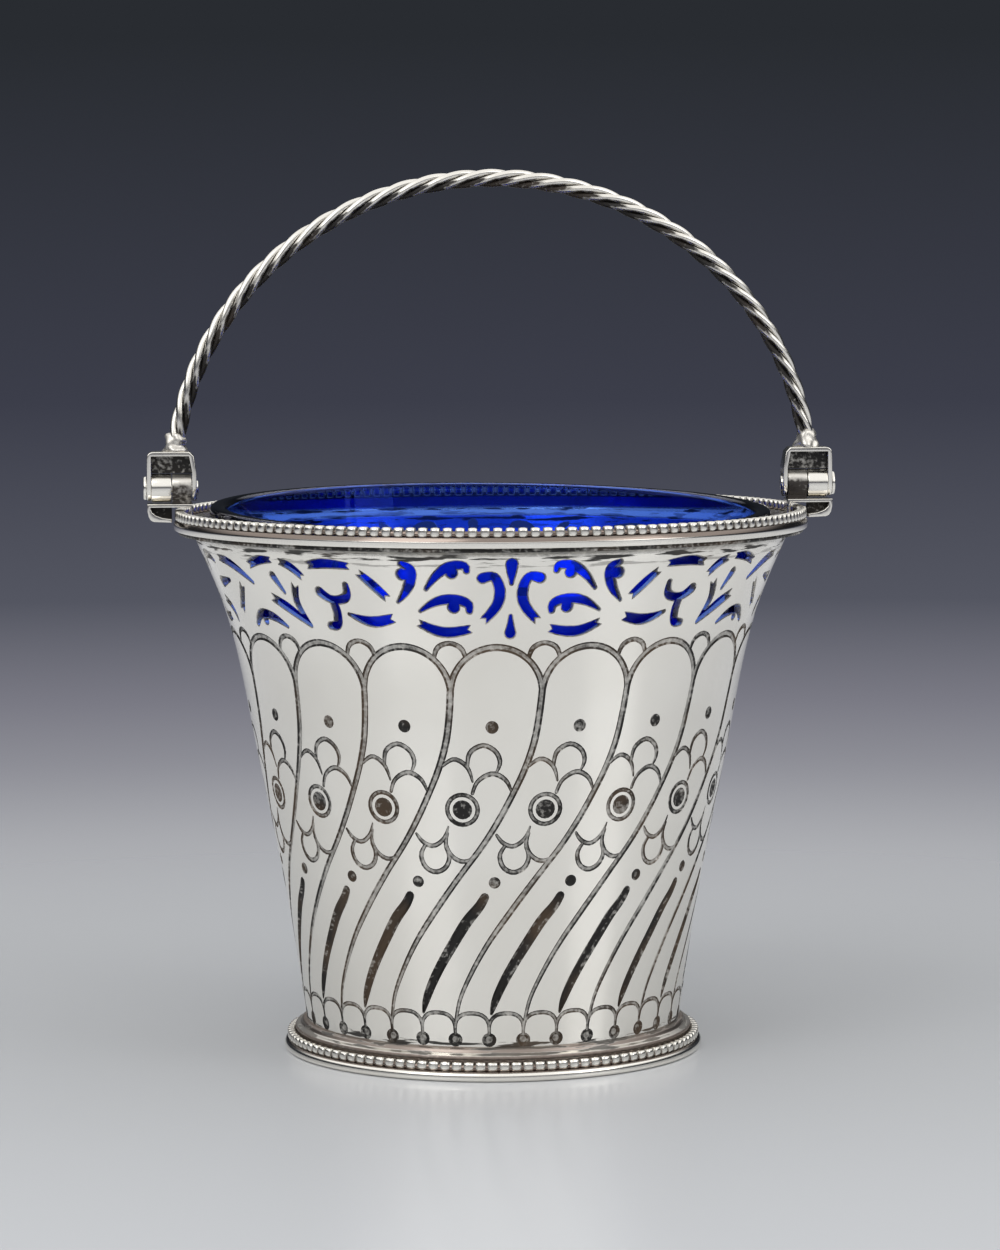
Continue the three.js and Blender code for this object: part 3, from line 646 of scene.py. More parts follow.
openings = [
    cScroll,
    {
        "stroke": [(11.1, 6.8, 0.4), (9.4, 8.8, 1), (7.7, 9.9, 1.2), (5.8, 9.9, 0.9), (5.7, 9.3, 0.7)],
        "lobes": [(7.6, 9.05, 0.78)],
    },
    {
        "stroke": [(12.2, 3.8, 0.3), (9.6, 5.2, 1.1), (7.1, 5.4, 1.2), (5.6, 4.7, 1.1), (5.5, 3.9, 0.8)],
        "lobes": [(7.6, 4.4, 0.8)],
    },
    {"stroke": [(12.4, 2.1, 0.9), (9.3, 1, 1.3), (5.6, 1.4, 1)], "notched": (True, True)},
    {
        "stroke": [(15.1, 5, 0.3), (13.3, 7.4, 1.3), (12.9, 9.4, 1.3), (14, 10.2, 0.7)],
        "lobes": [(14.05, 8.75, 0.78)],
    },
    {"stroke": [(19.9, 8.7, 0.9), (18.4, 7.3, 1.2), (16.7, 5.6, 1)], "notched": (True, True)},
    {"stroke": [(22.7, 3.1, 0.3), (19.4, 2.2, 1.3), (16.3, 2.7, 1.1)], "notched": (False, True)},
    {
        "stroke": [(26.7, 6, 1.3), (24.9, 5, 1), (22.6, 5.5, 1.1), (22.3, 7.1, 0.7)],
        "branch": [(24.9, 5, 1.1), (24.6, 3.2, 1.2), (25, 1.6, 1.2), (26.2, 1.4, 0.9)],
    },
    {"stroke": [(27.4, 9.6, 0.9), (25.2, 9.9, 1.2), (21.4, 9.7, 0.8)], "notched": (True, True)},
    {"stroke": [(32.2, 9.8, 0.8), (30.7, 9.3, 1.1), (29.1, 8, 0.9)], "notched": (True, True)},
    {"stroke": [(34.5, 7.8, 1.1), (33.2, 5.6, 0.4)]},
    {
        "stroke": [(36, 4.7, 1.1), (33.2, 3.4, 1.3), (29.7, 1.2, 0.4)],
        "branch": [(30.8, 6.6, 1.1), (31.3, 4.5, 1), (29.7, 1.2, 0.4)],
        "notched": (True, False),
    },
    {
        "stroke": [(34.6, 0.8, 0.3), (37.6, 2.1, 1.1), (40.4, 2.2, 1.1), (42.1, 0.8, 0.7)],
        "lobes": [(39.5, 1.4, 0.6)],
    },
    {"stroke": [(38.8, 9.1, 0.9), (36.6, 9.8, 1.1), (34, 10, 0.7)], "notched": (True, True)},
    {"stroke": [(47.2, 9.5, 0.8), (43.9, 8.9, 1.2), (39.6, 6.6, 0.4)], "notched": (True, False)},
    {"stroke": [(43.1, 5.9, 1), (45.8, 2.5, 1)], "notched": (True, True)},
    {"stroke": [(46.6, 6.5, 0.4), (50.2, 6, 1.4)]},
    {"stroke": [(49.2, 0.8, 0.4), (50, 2.3, 1), (52.3, 3.5, 1)], "notched": (False, True)},
    {"stroke": [(50, 8.9, 0.5), (51.6, 9.6, 1), (54.2, 9.3, 1), (54.6, 7.6, 0.6)]},
    {"stroke": [(52.6, 1.1, 0.9), (54.6, 0.9, 1.2), (56.6, 1.6, 0.9)], "notched": (True, True)},
]


# A closed outline moved outwards, its corners kept
def grownOutline(outline, by):
    before = outline - np.roll(outline, 1, axis=0)
    before /= np.linalg.norm(before, axis=1)[:, None]
    after = np.roll(before, -1, axis=0)
    x, y = outline.T
    turning = np.sign((x * np.roll(y, -1) - np.roll(x, -1) * y).sum())
    middle = before + after
    middle /= np.linalg.norm(middle, axis=1)[:, None]
    outwards = turning * np.stack([middle[:, 1], -middle[:, 0]], 1)
    stretch = 1 / np.maximum((middle * after).sum(1), 0.6)
    return outline + by * outwards * stretch[:, None]


# Outline of a sawn stroke in millimetres along and up, its ends round or cut to a swallow tail
def sawnOutline(stroke, notched):
    points = np.array(stroke, float)
    length = np.concatenate([[0], np.cumsum(np.hypot(*np.diff(points[:, :2], axis=0).T))])
    count = max(3, math.ceil(length[-1] / band["spacing"]) + 1)
    stations = through(length, points, np.linspace(0, length[-1], count))
    forward = np.gradient(stations[:, :2], axis=0)
    forward /= np.linalg.norm(forward, axis=1)[:, None]
    side = np.stack([-forward[:, 1], forward[:, 0]], 1)
    reach = stations[:, 2:] / 2
    left = stations[:, :2] + side * reach
    right = stations[:, :2] - side * reach
    sweep = np.linspace(0, math.pi, 7)[1:-1, None]

    def cap(index, heading, across, isNotched):
        middle, half = stations[index, :2], reach[index]
        if not isNotched:
            return middle + half * (across * np.cos(sweep) + heading * np.sin(sweep))
        tips = [0.35 * heading + 0.95 * across, -0.55 * heading + 0.1 * across,
                -0.55 * heading - 0.1 * across, 0.35 * heading - 0.95 * across]
        return middle + half * np.array(tips)

    end = cap(-1, forward[-1], side[-1], notched[1])
    start = cap(0, -forward[0], -side[0], notched[0])
    return np.concatenate([left, end, right[::-1], start])


# Outlines of one opening, moved along the band, mirrored where flip is -1, and grown
def openingOutlines(opening, shift, flip, grow):
    def moved(points):
        return [(shift + flip * along, height, size) for along, height, size in points]

    notched = opening.get("notched", (False, False))
    outlines = [sawnOutline(moved(opening["stroke"]), notched)]
    if "branch" in opening:
        outlines.append(sawnOutline(moved(opening["branch"]), (notched[0], False)))
    for along, height, radius in moved(opening.get("lobes", [])):
        sweep = np.linspace(0, 2 * math.pi, 14, endpoint=False)
        around = np.stack([np.cos(sweep), np.sin(sweep)], 1)
        outlines.append([along, height] + radius * around)
    return [grownOutline(outline, grow) for outline in outlines]


# All outlines of half the band, as angle and height, from one strip joint to the next
def bandOutlines(grow):
    half = math.pi * band["radius"]
    found = []
    for base in (0, half):
        for flip in (1, -1):
            for opening in openings:
                found += openingOutlines(opening, base, flip, grow)
            found += openingOutlines(cScroll, base + flip * half / 2, -flip, grow)
        for opening in onMirror:
            found += openingOutlines(opening, base, 1, grow)
            found += openingOutlines(opening, base + half / 2, 1, grow)
    placed = []
    low = math.radians(band["start"])
    for outline in found:
        angles = outline[:, 0] / band["radius"]
        if low < angles.mean() < low + math.pi:
            placed.append(np.stack([angles, outline[:, 1] + band["foot"]], 1))
    return placed


# Least distance to a set of closed outlines, in millimetres, and whether a place is in one
def outlineDistance(places, outlines):
    away = np.full(len(places), 1e3)
    inside = np.zeros(len(places), bool)
    x, y = (places * [band["radius"], 1]).T
    for outline in outlines:
        corners = outline * [band["radius"], 1]
        low, high = corners.min(0) - 0.6, corners.max(0) + 0.6
        rows = np.where((x > low[0]) & (x < high[0]) & (y > low[1]) & (y < high[1]))[0]
        if not len(rows):
            continue
        start, end = corners, np.roll(corners, -1, axis=0)
        px, py = x[rows, None], y[rows, None]
        step = end - start
        along = (px - start[:, 0]) * step[:, 0] + (py - start[:, 1]) * step[:, 1]
        along = np.clip(along / (step ** 2).sum(1), 0, 1)
        gap = np.hypot(start[:, 0] + along * step[:, 0] - px, start[:, 1] + along * step[:, 1] - py)
        away[rows] = np.minimum(away[rows], gap.min(1))
        rising = (start[:, 1] > py) != (end[:, 1] > py)
        climb = np.where(step[:, 1] == 0, 1, step[:, 1])
        crossing = start[:, 0] + (py - start[:, 1]) / climb * step[:, 0]
        inside[rows] |= (rising & (px < crossing)).sum(1) % 2 == 1
    return away, inside


# Half of the pierced band: places, depths, triangles and the edges that go round the openings
def piercedHalf():
    low, high = wallSizes["engravedTop"], wallTop
    start = band["start"]
    ring = ringAngles(start, 180)
    holes = bandOutlines(0)
    rims = bandOutlines(band["chamfer"])
    outlines = [(outline, True) for outline in holes + rims]
    for height in (low, high):
        outlines.append((np.stack([ring, np.full(len(ring), height)], 1), False))
    sides = np.linspace(low, high, 9)
    for angle in (ring[0], ring[-1]):
        outlines.append((np.stack([np.full(len(sides), angle), sides], 1), False))
    loose = []
    gap = band["facet"] / band["radius"]
    for row, height in enumerate(sides[1:-1]):
        angles = np.arange(ring[0] + gap * (0.6 + 0.5 * (row % 2)), ring[-1] - gap / 2, gap)
        loose += [(angle, height) for angle in angles]
    loose = np.array(loose)
    away, inside = outlineDistance(loose, holes)
    free = (away > band["clearance"]) & ~inside
    places, faces = triangulated(outlines, loose[free], band["radius"])
    centres = places[faces].mean(1)
    away, inside = outlineDistance(centres, holes)
    kept = ~inside & (centres[:, 1] > low) & (centres[:, 1] < high)
    kept &= (centres[:, 0] > ring[0]) & (centres[:, 0] < ring[-1])
    faces = faces[kept]
    away, inside = outlineDistance(places, holes)
    away[inside] = 0
    depth = band["chamferDepth"] * np.clip(1 - away / band["chamfer"], 0, 1)
    depth[depth < 0.002] = 0
    sawn = (depth[faces] > 0).any(1)
    seen = dict.fromkeys(edge for a, b, c in faces for edge in ((a, b), (b, c), (c, a)))
    walls = []
    for a, b in seen:
        angles, heights = places[[a, b]].T
        onTop = any(abs(heights - height).max() < 1e-4 for height in (low, high))
        onSide = any(abs(angles - angle).max() < 1e-6 for angle in (ring[0], ring[-1]))
        if (b, a) not in seen and not onTop and not onSide:
            walls.append((a, b))
    return places, depth, faces, sawn, walls


# Section of the lip: its hollow face from the wall outwards, its edge, its back to the mouth
def lipProfile():
    reach, rise = wallSizes["lipReach"], wallSizes["lipRise"]
    thick, thickness = wallSizes["lipThickness"], wallSizes["thickness"]
    radius = wallRadius(wallTop)
    bend = np.linspace(0, 1, 7)
    out = reach * (0.12 * bend + 0.5 * bend ** 2 + 0.2 * bend ** 3)
    up = rise * np.sin(1.4 * bend) / math.sin(1.4)
    return [
        *zip(radius + out, wallTop + up),
        (radius + 0.88 * reach, wallTop + rise),
        (radius + 0.88 * reach, wallTop + rise + thick),
        (radius + 0.3 * reach, wallTop + rise + thick),
        (radius - 0.6 * thickness, wallTop + 0.8 * rise),
        (radius - thickness, wallTop),
    ]


# The wall's zones: engraved panels, pierced band, lip, inside and foot rim
def buildWall():
    points, faces, kinds, blacks = [], [], [], []
    count = 0

    def add(newPoints, newFaces, kind, black):
        nonlocal count
        points.append(newPoints)
        faces.extend((np.asarray(newFaces) + count).tolist())
        kinds.append(np.broadcast_to(kind, len(newFaces)))
        blacks.append(np.broadcast_to(black, len(newFaces)))
        count += len(newPoints)

    places, depth, triangles, black = engravedPanel()
    for copy in range(panel["count"]):
        angle = places[:, 0] + math.radians(copy * turn)
        add(onWall(angle, places[:, 1], depth), triangles, (black == 0).astype(int), black)
    print("engraved panel:", len(triangles), "triangles, times", panel["count"])

    places, depth, triangles, sawn, walls = piercedHalf()
    thickness = wallSizes["thickness"]
    n = len(places)
    quads = [(b, a, a + n, b + n) for a, b in walls]
    for angle in (places[:, 0], places[:, 0] + math.pi):
        outer = onWall(angle, places[:, 1], depth)
        inner = roundPail(angle, wallRadius(places[:, 1]) - thickness, places[:, 1])
        add(outer, triangles, (~sawn).astype(int), np.where(sawn, band["edgeBlack"], 0))
        add(inner, triangles[:, ::-1], 0, band["innerBlack"])
        add(np.concatenate([outer, inner]), quads, 0, band["sawnBlack"])
    print("pierced band:", 2 * len(triangles), "triangles a half,", len(walls), "sawn edges")

    heights = (wallSizes["engravedTop"], *wallSizes["insideStations"], wallFoot)
    inside = [(wallRadius(z) - thickness, z) for z in heights]
    insideBlack = [wallSizes["insideBlack"]] * (len(inside) - 1)
    angles = ringAngles(band["start"], 360)[:-1]
    n = len(angles)
    following = [(i, (i + 1) % n) for i in range(n)]
    # the lip's hollow and edge under the rim band are painted shade and shadow, with sulphide
    for profile, rowBlack in ((lipProfile(), wallSizes["lipShadeAndTarnish"]), (inside, insideBlack)):
        rings = [roundPail(angles, r, z) for r, z in profile]
        quads = [(row * n + i, row * n + j, (row + 1) * n + j, (row + 1) * n + i)
                 for row in range(len(profile) - 1) for i, j in following]
        add(np.concatenate(rings), quads, 0, np.repeat(rowBlack, n))
    lowest = wallRadius(wallFoot)
    footStart = panel["middle"] - panel["half"] + swirl[-1][0]
    skip = round((band["start"] - footStart) / wallSizes["step"])
    outer = roundPail(ringAngles(footStart, 360)[:-1], lowest, wallFoot)
    inner = roundPail(np.roll(angles, skip), lowest - thickness, wallFoot)
    quads = [(j, i, n + i, n + j) for i, j in following]
    add(np.concatenate([outer, inner]), quads, 0, wallSizes["footBlack"])
    return weldedWall(
        np.concatenate(points), faces, np.concatenate(kinds), np.concatenate(blacks)
    )


# One closed mesh of all zones. Kinds are 1 on plain metal, blacks say how dark a face is painted:
# sulphide, and on the lip under the rim band also painted shade.
def weldedWall(points, faces, kinds, blacks):
    wall = meshObject("engravedWall", points, faces, wallSilver)
    mesh = wall.data
    kind = mesh.attributes.new("plainMetal", "INT", "FACE")
    kind.data.foreach_set("value", kinds.astype(np.int32))
    tarnishAndShade = mesh.attributes.new("tarnishAndShade", "FLOAT", "FACE")
    tarnishAndShade.data.foreach_set("value", blacks.astype(np.float32))
    work = bmesh.new()
    work.from_mesh(mesh)
    bmesh.ops.remove_doubles(work, verts=work.verts, dist=0.003 * mm)
    loose = [edge for edge in work.edges if not edge.is_manifold]
    print("wall:", len(work.faces), "faces,", len(loose), "open edges")
    work.to_mesh(mesh)
    work.free()
    finishWall(mesh)
    return wall


# Plain metal gets the true normals of the wall, so that polish runs on over the triangles
def finishWall(mesh):
    n = len(mesh.polygons)
    plain = np.zeros(n, np.int32)
    mesh.attributes["plainMetal"].data.foreach_get("value", plain)
    black = np.zeros(n, np.float32)
    mesh.attributes["tarnishAndShade"].data.foreach_get("value", black)
    corners = np.zeros(n, np.int32)
    mesh.polygons.foreach_get("loop_total", corners)
    smooth = plain.copy()
    smooth[corners == 4] = 1
    mesh.polygons.foreach_set("use_smooth", smooth.astype(bool))
    points = np.zeros(len(mesh.vertices) * 3)
    mesh.vertices.foreach_get("co", points)
    points = points.reshape(-1, 3) / mm
    vertexOf = np.zeros(len(mesh.loops), np.int32)
    mesh.loops.foreach_get("vertex_index", vertexOf)
    flat = np.hypot(points[:, 0], points[:, 1])
    normals = np.column_stack([points[:, 0] / flat, points[:, 1] / flat, -wallSlope(points[:, 2])])
    normals /= np.linalg.norm(normals, axis=1)[:, None]
    perCorner = normals[vertexOf]
    perCorner[np.repeat(plain, corners) == 0] = 0
    mesh.attributes.remove(mesh.attributes["plainMetal"])
    mesh.attributes.remove(mesh.attributes["tarnishAndShade"])
    tarnishAndShade = mesh.attributes.new("tarnishAndShade", "FLOAT", "CORNER")
    tarnishAndShade.data.foreach_set("value", np.repeat(black, corners))
    mesh.normals_split_custom_set(perCorner.tolist())


wall = buildWall()
dress(wall, "body_wall", "pail")
print("wall ready")


# A corner of an outline replaced by a few points on an arc
def rounded(outline, corners=4):
    points = []
    n = len(outline)
    for i, (r, z, radius) in enumerate(outline):
        here = np.array([r, z])
        if radius == 0:
            points.append(here)
            continue
        before = np.array(outline[i - 1][:2]) - here
        after = np.array(outline[(i + 1) % n][:2]) - here
        reach = min(radius, 0.45 * np.linalg.norm(before), 0.45 * np.linalg.norm(after))
        first = here + before / np.linalg.norm(before) * reach
        last = here + after / np.linalg.norm(after) * reach
        for t in np.linspace(0, 1, corners):
            points.append((1 - t) ** 2 * first + 2 * t * (1 - t) * here + t ** 2 * last)
    return np.array(points)


# Revolves an outline of (radius, height, corner radius), counter-clockwise, round the Z axis.
# Where along is given, it is the height of an axis along X instead, on which the outline's
# heights are measured, towards the side. Tarnish and film are shares at a radius and height.
def turnedPiece(name, outline, material, steps=240, along=None, tarnishAndShade=None, film=None, side=1):
    outline = rounded(outline)
    angles = np.linspace(0, 2 * math.pi, steps, endpoint=False)
    points, rows = [], []
    for r, z in outline:
        rows.append((len(points), r < 1e-6))
        ring = [(0, 0, z)] if r < 1e-6 else [(r * math.cos(a), r * math.sin(a), z) for a in angles]
        points += ring
    faces, middles = [], []
    for k in range(len(rows)):
        (a, aPole), (b, bPole) = rows[k], rows[(k + 1) % len(rows)]
        if aPole and bPole:
            continue
        middle = (outline[k] + outline[(k + 1) % len(rows)]) / 2
        for i in range(steps):
            j = (i + 1) % steps
            if aPole:
                faces.append((a, b + j, b + i))
            elif bPole:
                faces.append((a + i, a + j, b))
            else:
                faces.append((a + i, a + j, b + j, b + i))
            middles.append(middle)
    points = np.array(points, float)
    if along is not None:
        points = np.stack([side * points[:, 2], side * points[:, 1], along + points[:, 0]], 1)
    piece = meshObject(name, points, faces, material)
    corners = [len(face) for face in faces]
    for label, share in (("tarnishAndShade", tarnishAndShade), ("film", film)):
        marks = piece.data.attributes.new(label, "FLOAT", "CORNER")
        values = [share(*middle) if share else 0 for middle in middles]
        marks.data.foreach_set("value", np.repeat(np.array(values, np.float32), corners))
    piece.data.set_sharp_from_angle(angle=math.radians(42))
    work = bmesh.new()
    work.from_mesh(piece.data)
    bmesh.ops.recalc_face_normals(work, faces=work.faces)
    work.to_mesh(piece.data)
    work.free()
    return piece


# Plain bands and the stepped ring of the foot
footSizes = {
    "band": [
        (26, 0, 0.1), (28.9, 0, 0.3), (29.2, 0.35, 0.3), (29.2, 1.0, 0.3), (28.7, 1.4, 0.3),
        (26, 1.4, 0.1),
    ],
    "step": [
        (23.75, 1.4, 0), (27.5, 1.4, 0), (27.5, 2.7, 0.05), (27.55, 2.72, 0.05), (27.75, 2.95, 0.15),
        (27.6, 3.3, 0.2), (26.95, 3.5, 0.2), (26.7, 4.0, 0.15), (26.35, 4.2, 0.05), (23.75, 4.2, 0),
    ],
    "base": [(0, 4.2, 0), (25, 4.2, 0.1), (25, 5.0, 0.1), (0, 5.0, 0)],
    "ledge": 1.12,        # height where the polishing cloth stops
    "groove": (2.71, 3.2),
    "shoulder": 3.6,      # polished from the groove up to here
    "joint": 4.1,         # with the wall
}


def ringTarnish(r, z):
    low, high = footSizes["groove"]
    return 0.7 if low < z < high else 0.5 if z > footSizes["joint"] else 0.1


def ringFilm(r, z):
    return 0.25 if footSizes["groove"][1] < z < footSizes["shoulder"] else 0.9


footBand = turnedPiece(
    "footBand", footSizes["band"], silver, 360,
    film=lambda r, z: 0.9 if z > footSizes["ledge"] else 0,
)
dress(footBand, "foot_band", "pail")
stepRing = turnedPiece(
    "footStepRing", footSizes["step"], turnedSilver, 360, tarnishAndShade=ringTarnish, film=ringFilm
)
dress(stepRing, "foot_step_ring", "pail")
baseDisc = turnedPiece("baseDisc", footSizes["base"], stainedSilver, 180)
dress(baseDisc, "base_disc", "pail")

rimSizes = {
    "band": [
        (42.4, 72.7, 0), (43.86, 72.7, 0.1), (44, 73.5, 0.16), (43.65, 74.1, 0.05), (42.4, 74.1, 0),
    ],
    "ledge": 73.55,       # height where the polishing cloth stops
}
rimBand = turnedPiece(
    "rimBand", rimSizes["band"], silver, 480,
    film=lambda r, z: 0.95 if z > rimSizes["ledge"] else 0,
)
dress(rimBand, "rim_band", "pail")
print("bands ready")


# A Geometry Nodes tree with named inputs, and what its inputs give
def newTree(name, inputs):
    tree = bpy.data.node_groups.new(name, "GeometryNodeTree")
    for label, kind in inputs.items():
        tree.interface.new_socket(label, in_out="INPUT", socket_type="NodeSocket" + kind)
    tree.interface.new_socket("Geometry", in_out="OUTPUT", socket_type="NodeSocketGeometry")
    return tree, addNode(tree, "NodeGroupInput").outputs


# Ends a tree with plain mesh of one metal
def finishTree(tree, geometry, metal):
    real = addNode(tree, "GeometryNodeRealizeInstances", links={"Geometry": geometry}).outputs[0]
    finished = addNode(
        tree, "GeometryNodeSetMaterial", links={"Geometry": real, "Material": metal}
    ).outputs[0]
    addNode(tree, "NodeGroupOutput", links={"Geometry": finished})
    return tree


# Beads on a wire, as a Geometry Nodes tree: a ring of beads with a thin core between them
beadSizes = {
    "rim": {"count": 167, "radius": 43.15, "height": 74.75, "across": 1.3, "core": 0.4,
            "share": 0.76},
    "foot": {"count": 111, "radius": 28.2, "height": 2.0, "across": 1.2, "core": 0.45,
             "share": 0.86},  # of the pitch that one bead takes
    "coreDrop": 0.22,     # of the core, below the middle of the beads
    "endShade": (0.82, 1.0, 0.8),  # shares of a bead's length where painted shade starts and is full, and how dark
}


# One bead: a block rounded to a cushion, with painted shade at both ends, where it meets its
# neighbours
def beadMesh(tree):
    block = addNode(
        tree, "GeometryNodeMeshCube",
        values={"Size": (2, 2, 2), "Vertices X": 4, "Vertices Y": 4, "Vertices Z": 4},
    ).outputs["Mesh"]
    place = addNode(tree, "GeometryNodeInputPosition").outputs["Position"]
    square = addNode(
        tree, "ShaderNodeVectorMath", {"operation": "MULTIPLY"}, links={0: place, 1: place}
    ).outputs[0]
    cubed = addNode(
        tree, "ShaderNodeVectorMath", {"operation": "MULTIPLY"}, links={0: place, 1: square}
    ).outputs[0]
    sixth = addNode(
        tree, "ShaderNodeVectorMath", {"operation": "DOT_PRODUCT"}, links={0: cubed, 1: cubed}
    ).outputs["Value"]
    inwards = addNode(
        tree, "ShaderNodeMath", {"operation": "POWER"}, values={1: -1 / 6}, links={0: sixth}
    ).outputs[0]
    rounder = addNode(
        tree, "ShaderNodeVectorMath", {"operation": "SCALE"}, links={0: place, "Scale": inwards}
    ).outputs[0]
    cushion = addNode(
        tree, "GeometryNodeSetPosition", links={"Geometry": block, "Position": rounder}
    ).outputs["Geometry"]
    split = addNode(tree, "ShaderNodeSeparateXYZ", links={"Vector": place}).outputs
    ends = addNode(tree, "ShaderNodeMath", {"operation": "ABSOLUTE"}, links={0: split["X"]})
    # painted shade at the bead's ends, in the gaps between beads
    clean, full, most = beadSizes["endShade"]
    endShade = addNode(
        tree, "ShaderNodeMapRange", values={"From Min": clean, "From Max": full, "To Max": most},
        links={"Value": ends.outputs[0]},
    ).outputs["Result"]
    return addNode(
        tree, "GeometryNodeStoreNamedAttribute", {"data_type": "FLOAT", "domain": "POINT"},
        values={"Name": "tarnishAndShade"}, links={"Geometry": cushion, "Value": endShade},
    ).outputs["Geometry"]


# The wire that runs through the beads, a little below their middle and stained all round
def coreMesh(tree, given):
    ring = addNode(
        tree, "GeometryNodeCurvePrimitiveCircle", values={"Resolution": 240},
        links={"Radius": given["Ring radius"]},
    ).outputs["Curve"]
    section = addNode(
        tree, "GeometryNodeCurvePrimitiveCircle", values={"Resolution": 10},
        links={"Radius": given["Core radius"]},
    ).outputs["Curve"]
    core = addNode(
        tree, "GeometryNodeCurveToMesh", links={"Curve": ring, "Profile Curve": section}
    ).outputs["Mesh"]
    stained = addNode(
        tree, "GeometryNodeStoreNamedAttribute", {"data_type": "FLOAT", "domain": "POINT"},
        values={"Name": "film", "Value": 1.0}, links={"Geometry": core},
    ).outputs["Geometry"]
    below = addNode(
        tree, "ShaderNodeMath", {"operation": "MULTIPLY"}, values={1: -1.0},
        links={0: given["Core drop"]},
    ).outputs[0]
    drop = addNode(tree, "ShaderNodeCombineXYZ", links={"Z": below}).outputs["Vector"]
    return addNode(
        tree, "GeometryNodeTransform", links={"Geometry": stained, "Translation": drop}
    ).outputs["Geometry"]


def beadTree():
    tree, given = newTree("beadedWire", {
        "Bead count": "Int", "Ring radius": "Float", "Ring height": "Float",
        "Bead length": "Float", "Bead width": "Float", "Core radius": "Float",
        "Core drop": "Float", "Metal": "Material",
    })
    ring = addNode(
        tree, "GeometryNodeCurvePrimitiveCircle",
        links={"Resolution": given["Bead count"], "Radius": given["Ring radius"]},
    ).outputs["Curve"]
    tangent = addNode(tree, "GeometryNodeInputTangent").outputs["Tangent"]
    turned = addNode(
        tree, "FunctionNodeAlignRotationToVector", {"axis": "X"}, links={"Vector": tangent}
    ).outputs["Rotation"]
    size = addNode(
        tree, "ShaderNodeCombineXYZ",
        links={"X": given["Bead length"], "Y": given["Bead width"], "Z": given["Bead width"]},
    ).outputs["Vector"]
    beads = addNode(
        tree, "GeometryNodeInstanceOnPoints",
        links={"Points": ring, "Instance": beadMesh(tree), "Rotation": turned, "Scale": size},
    ).outputs["Instances"]
    joined = addNode(tree, "GeometryNodeJoinGeometry")
    tree.links.new(beads, joined.inputs["Geometry"])
    tree.links.new(coreMesh(tree, given), joined.inputs["Geometry"])
    lift = addNode(tree, "ShaderNodeCombineXYZ", links={"Z": given["Ring height"]}).outputs["Vector"]
    raised = addNode(
        tree, "GeometryNodeTransform", links={"Geometry": joined.outputs[0], "Translation": lift}
    ).outputs["Geometry"]
    smooth = addNode(tree, "GeometryNodeSetShadeSmooth", links={"Geometry": raised}).outputs[0]
    return finishTree(tree, smooth, given["Metal"])


# Runs a tree on an object and leaves the plain mesh that it makes
def grown(name, source, tree, inputs):
    modifier = source.modifiers.new(tree.name, "NODES")
    modifier.node_group = tree
    given = [item for item in tree.interface.items_tree if item.in_out == "INPUT"]
    sockets = {item.name: item.identifier for item in given}
    for label, value in inputs.items():
        modifier[sockets[label]] = value
    bpy.context.view_layer.update()
    evaluated = source.evaluated_get(bpy.context.evaluated_depsgraph_get())
    mesh = bpy.data.meshes.new_from_object(evaluated)
    mesh.name = name
    source.modifiers.remove(modifier)
    bpy.data.objects.remove(source)
    return objectOf(name, mesh)


beadedWireTree = beadTree()
for place in ("rim", "foot"):
    sizes = beadSizes[place]
    pitch = 2 * math.pi * sizes["radius"] / sizes["count"]
    source = objectOf(place + "BeadSource", bpy.data.meshes.new(place + "BeadSource"))
    beads = grown(place + "BeadWire", source, beadedWireTree, {
        "Bead count": sizes["count"],
        "Ring radius": sizes["radius"] * mm,
        "Ring height": sizes["height"] * mm,
        "Bead length": pitch * sizes["share"] / 2 * mm,
        "Bead width": sizes["across"] / 2 * mm,
        "Core radius": sizes["core"] * mm,
        "Core drop": beadSizes["coreDrop"] * mm,
        "Metal": silver,
    })
    dress(beads, place + "_bead_wire", "pail")
print("beads ready")


# Blown glass liner, outline from the middle of its foot up the outside and down the inside
linerSizes = {
    "raised": 0.6,        # of the rim, most at the back on the left, as it was ground by hand
    "slant": (-0.01, 0.03),
    "straight": 66,       # height above which the rim is raised
    "foot": 5.3, "top": 75.0, "rim": 39.05, "wall": 2.4, "base": 3.0, "gap": 1.45, "heel": 3.7,
    "stations": (16, 24, 32, 40, 48, 56, 62, 66, 69),
}


def linerOutline():
    s = linerSizes

    def follow(z):
        return min(float(wallRadius(z)) - s["gap"], s["rim"])

    heights = [s["foot"] + s["heel"], *s["stations"]]
    outside = [(0, s["foot"] + 0.35, 0), (13, s["foot"] + 0.3, 0), (19.5, s["foot"], 0.5),
               (follow(s["foot"]) - 0.4, s["foot"], 2.2)]
    outside += [(follow(z), z, 0) for z in heights]
    outside += [(s["rim"], s["top"], 0.7)]
    inside = [(s["rim"] - s["wall"], s["top"], 0.8)]
    inside += [(follow(z) - s["wall"], z, 0) for z in reversed(heights)]
    inside += [(follow(s["foot"]) - s["wall"] - 0.6, s["foot"] + s["base"], 2.5),
               (0, s["foot"] + s["base"] + 0.3, 0)]
    return outside + inside


liner = turnedPiece("cobaltLiner", linerOutline(), cobaltGlass, 240)
for vertex in liner.data.vertices:
    x, y, z = vertex.co / mm
    share = (z - linerSizes["straight"]) / (linerSizes["top"] - linerSizes["straight"])
    raised = linerSizes["raised"] + linerSizes["slant"][0] * x + linerSizes["slant"][1] * y
    vertex.co.z += max(share, 0) * raised * mm
dress(liner, "glass_liner", "liner")
print("liner ready")


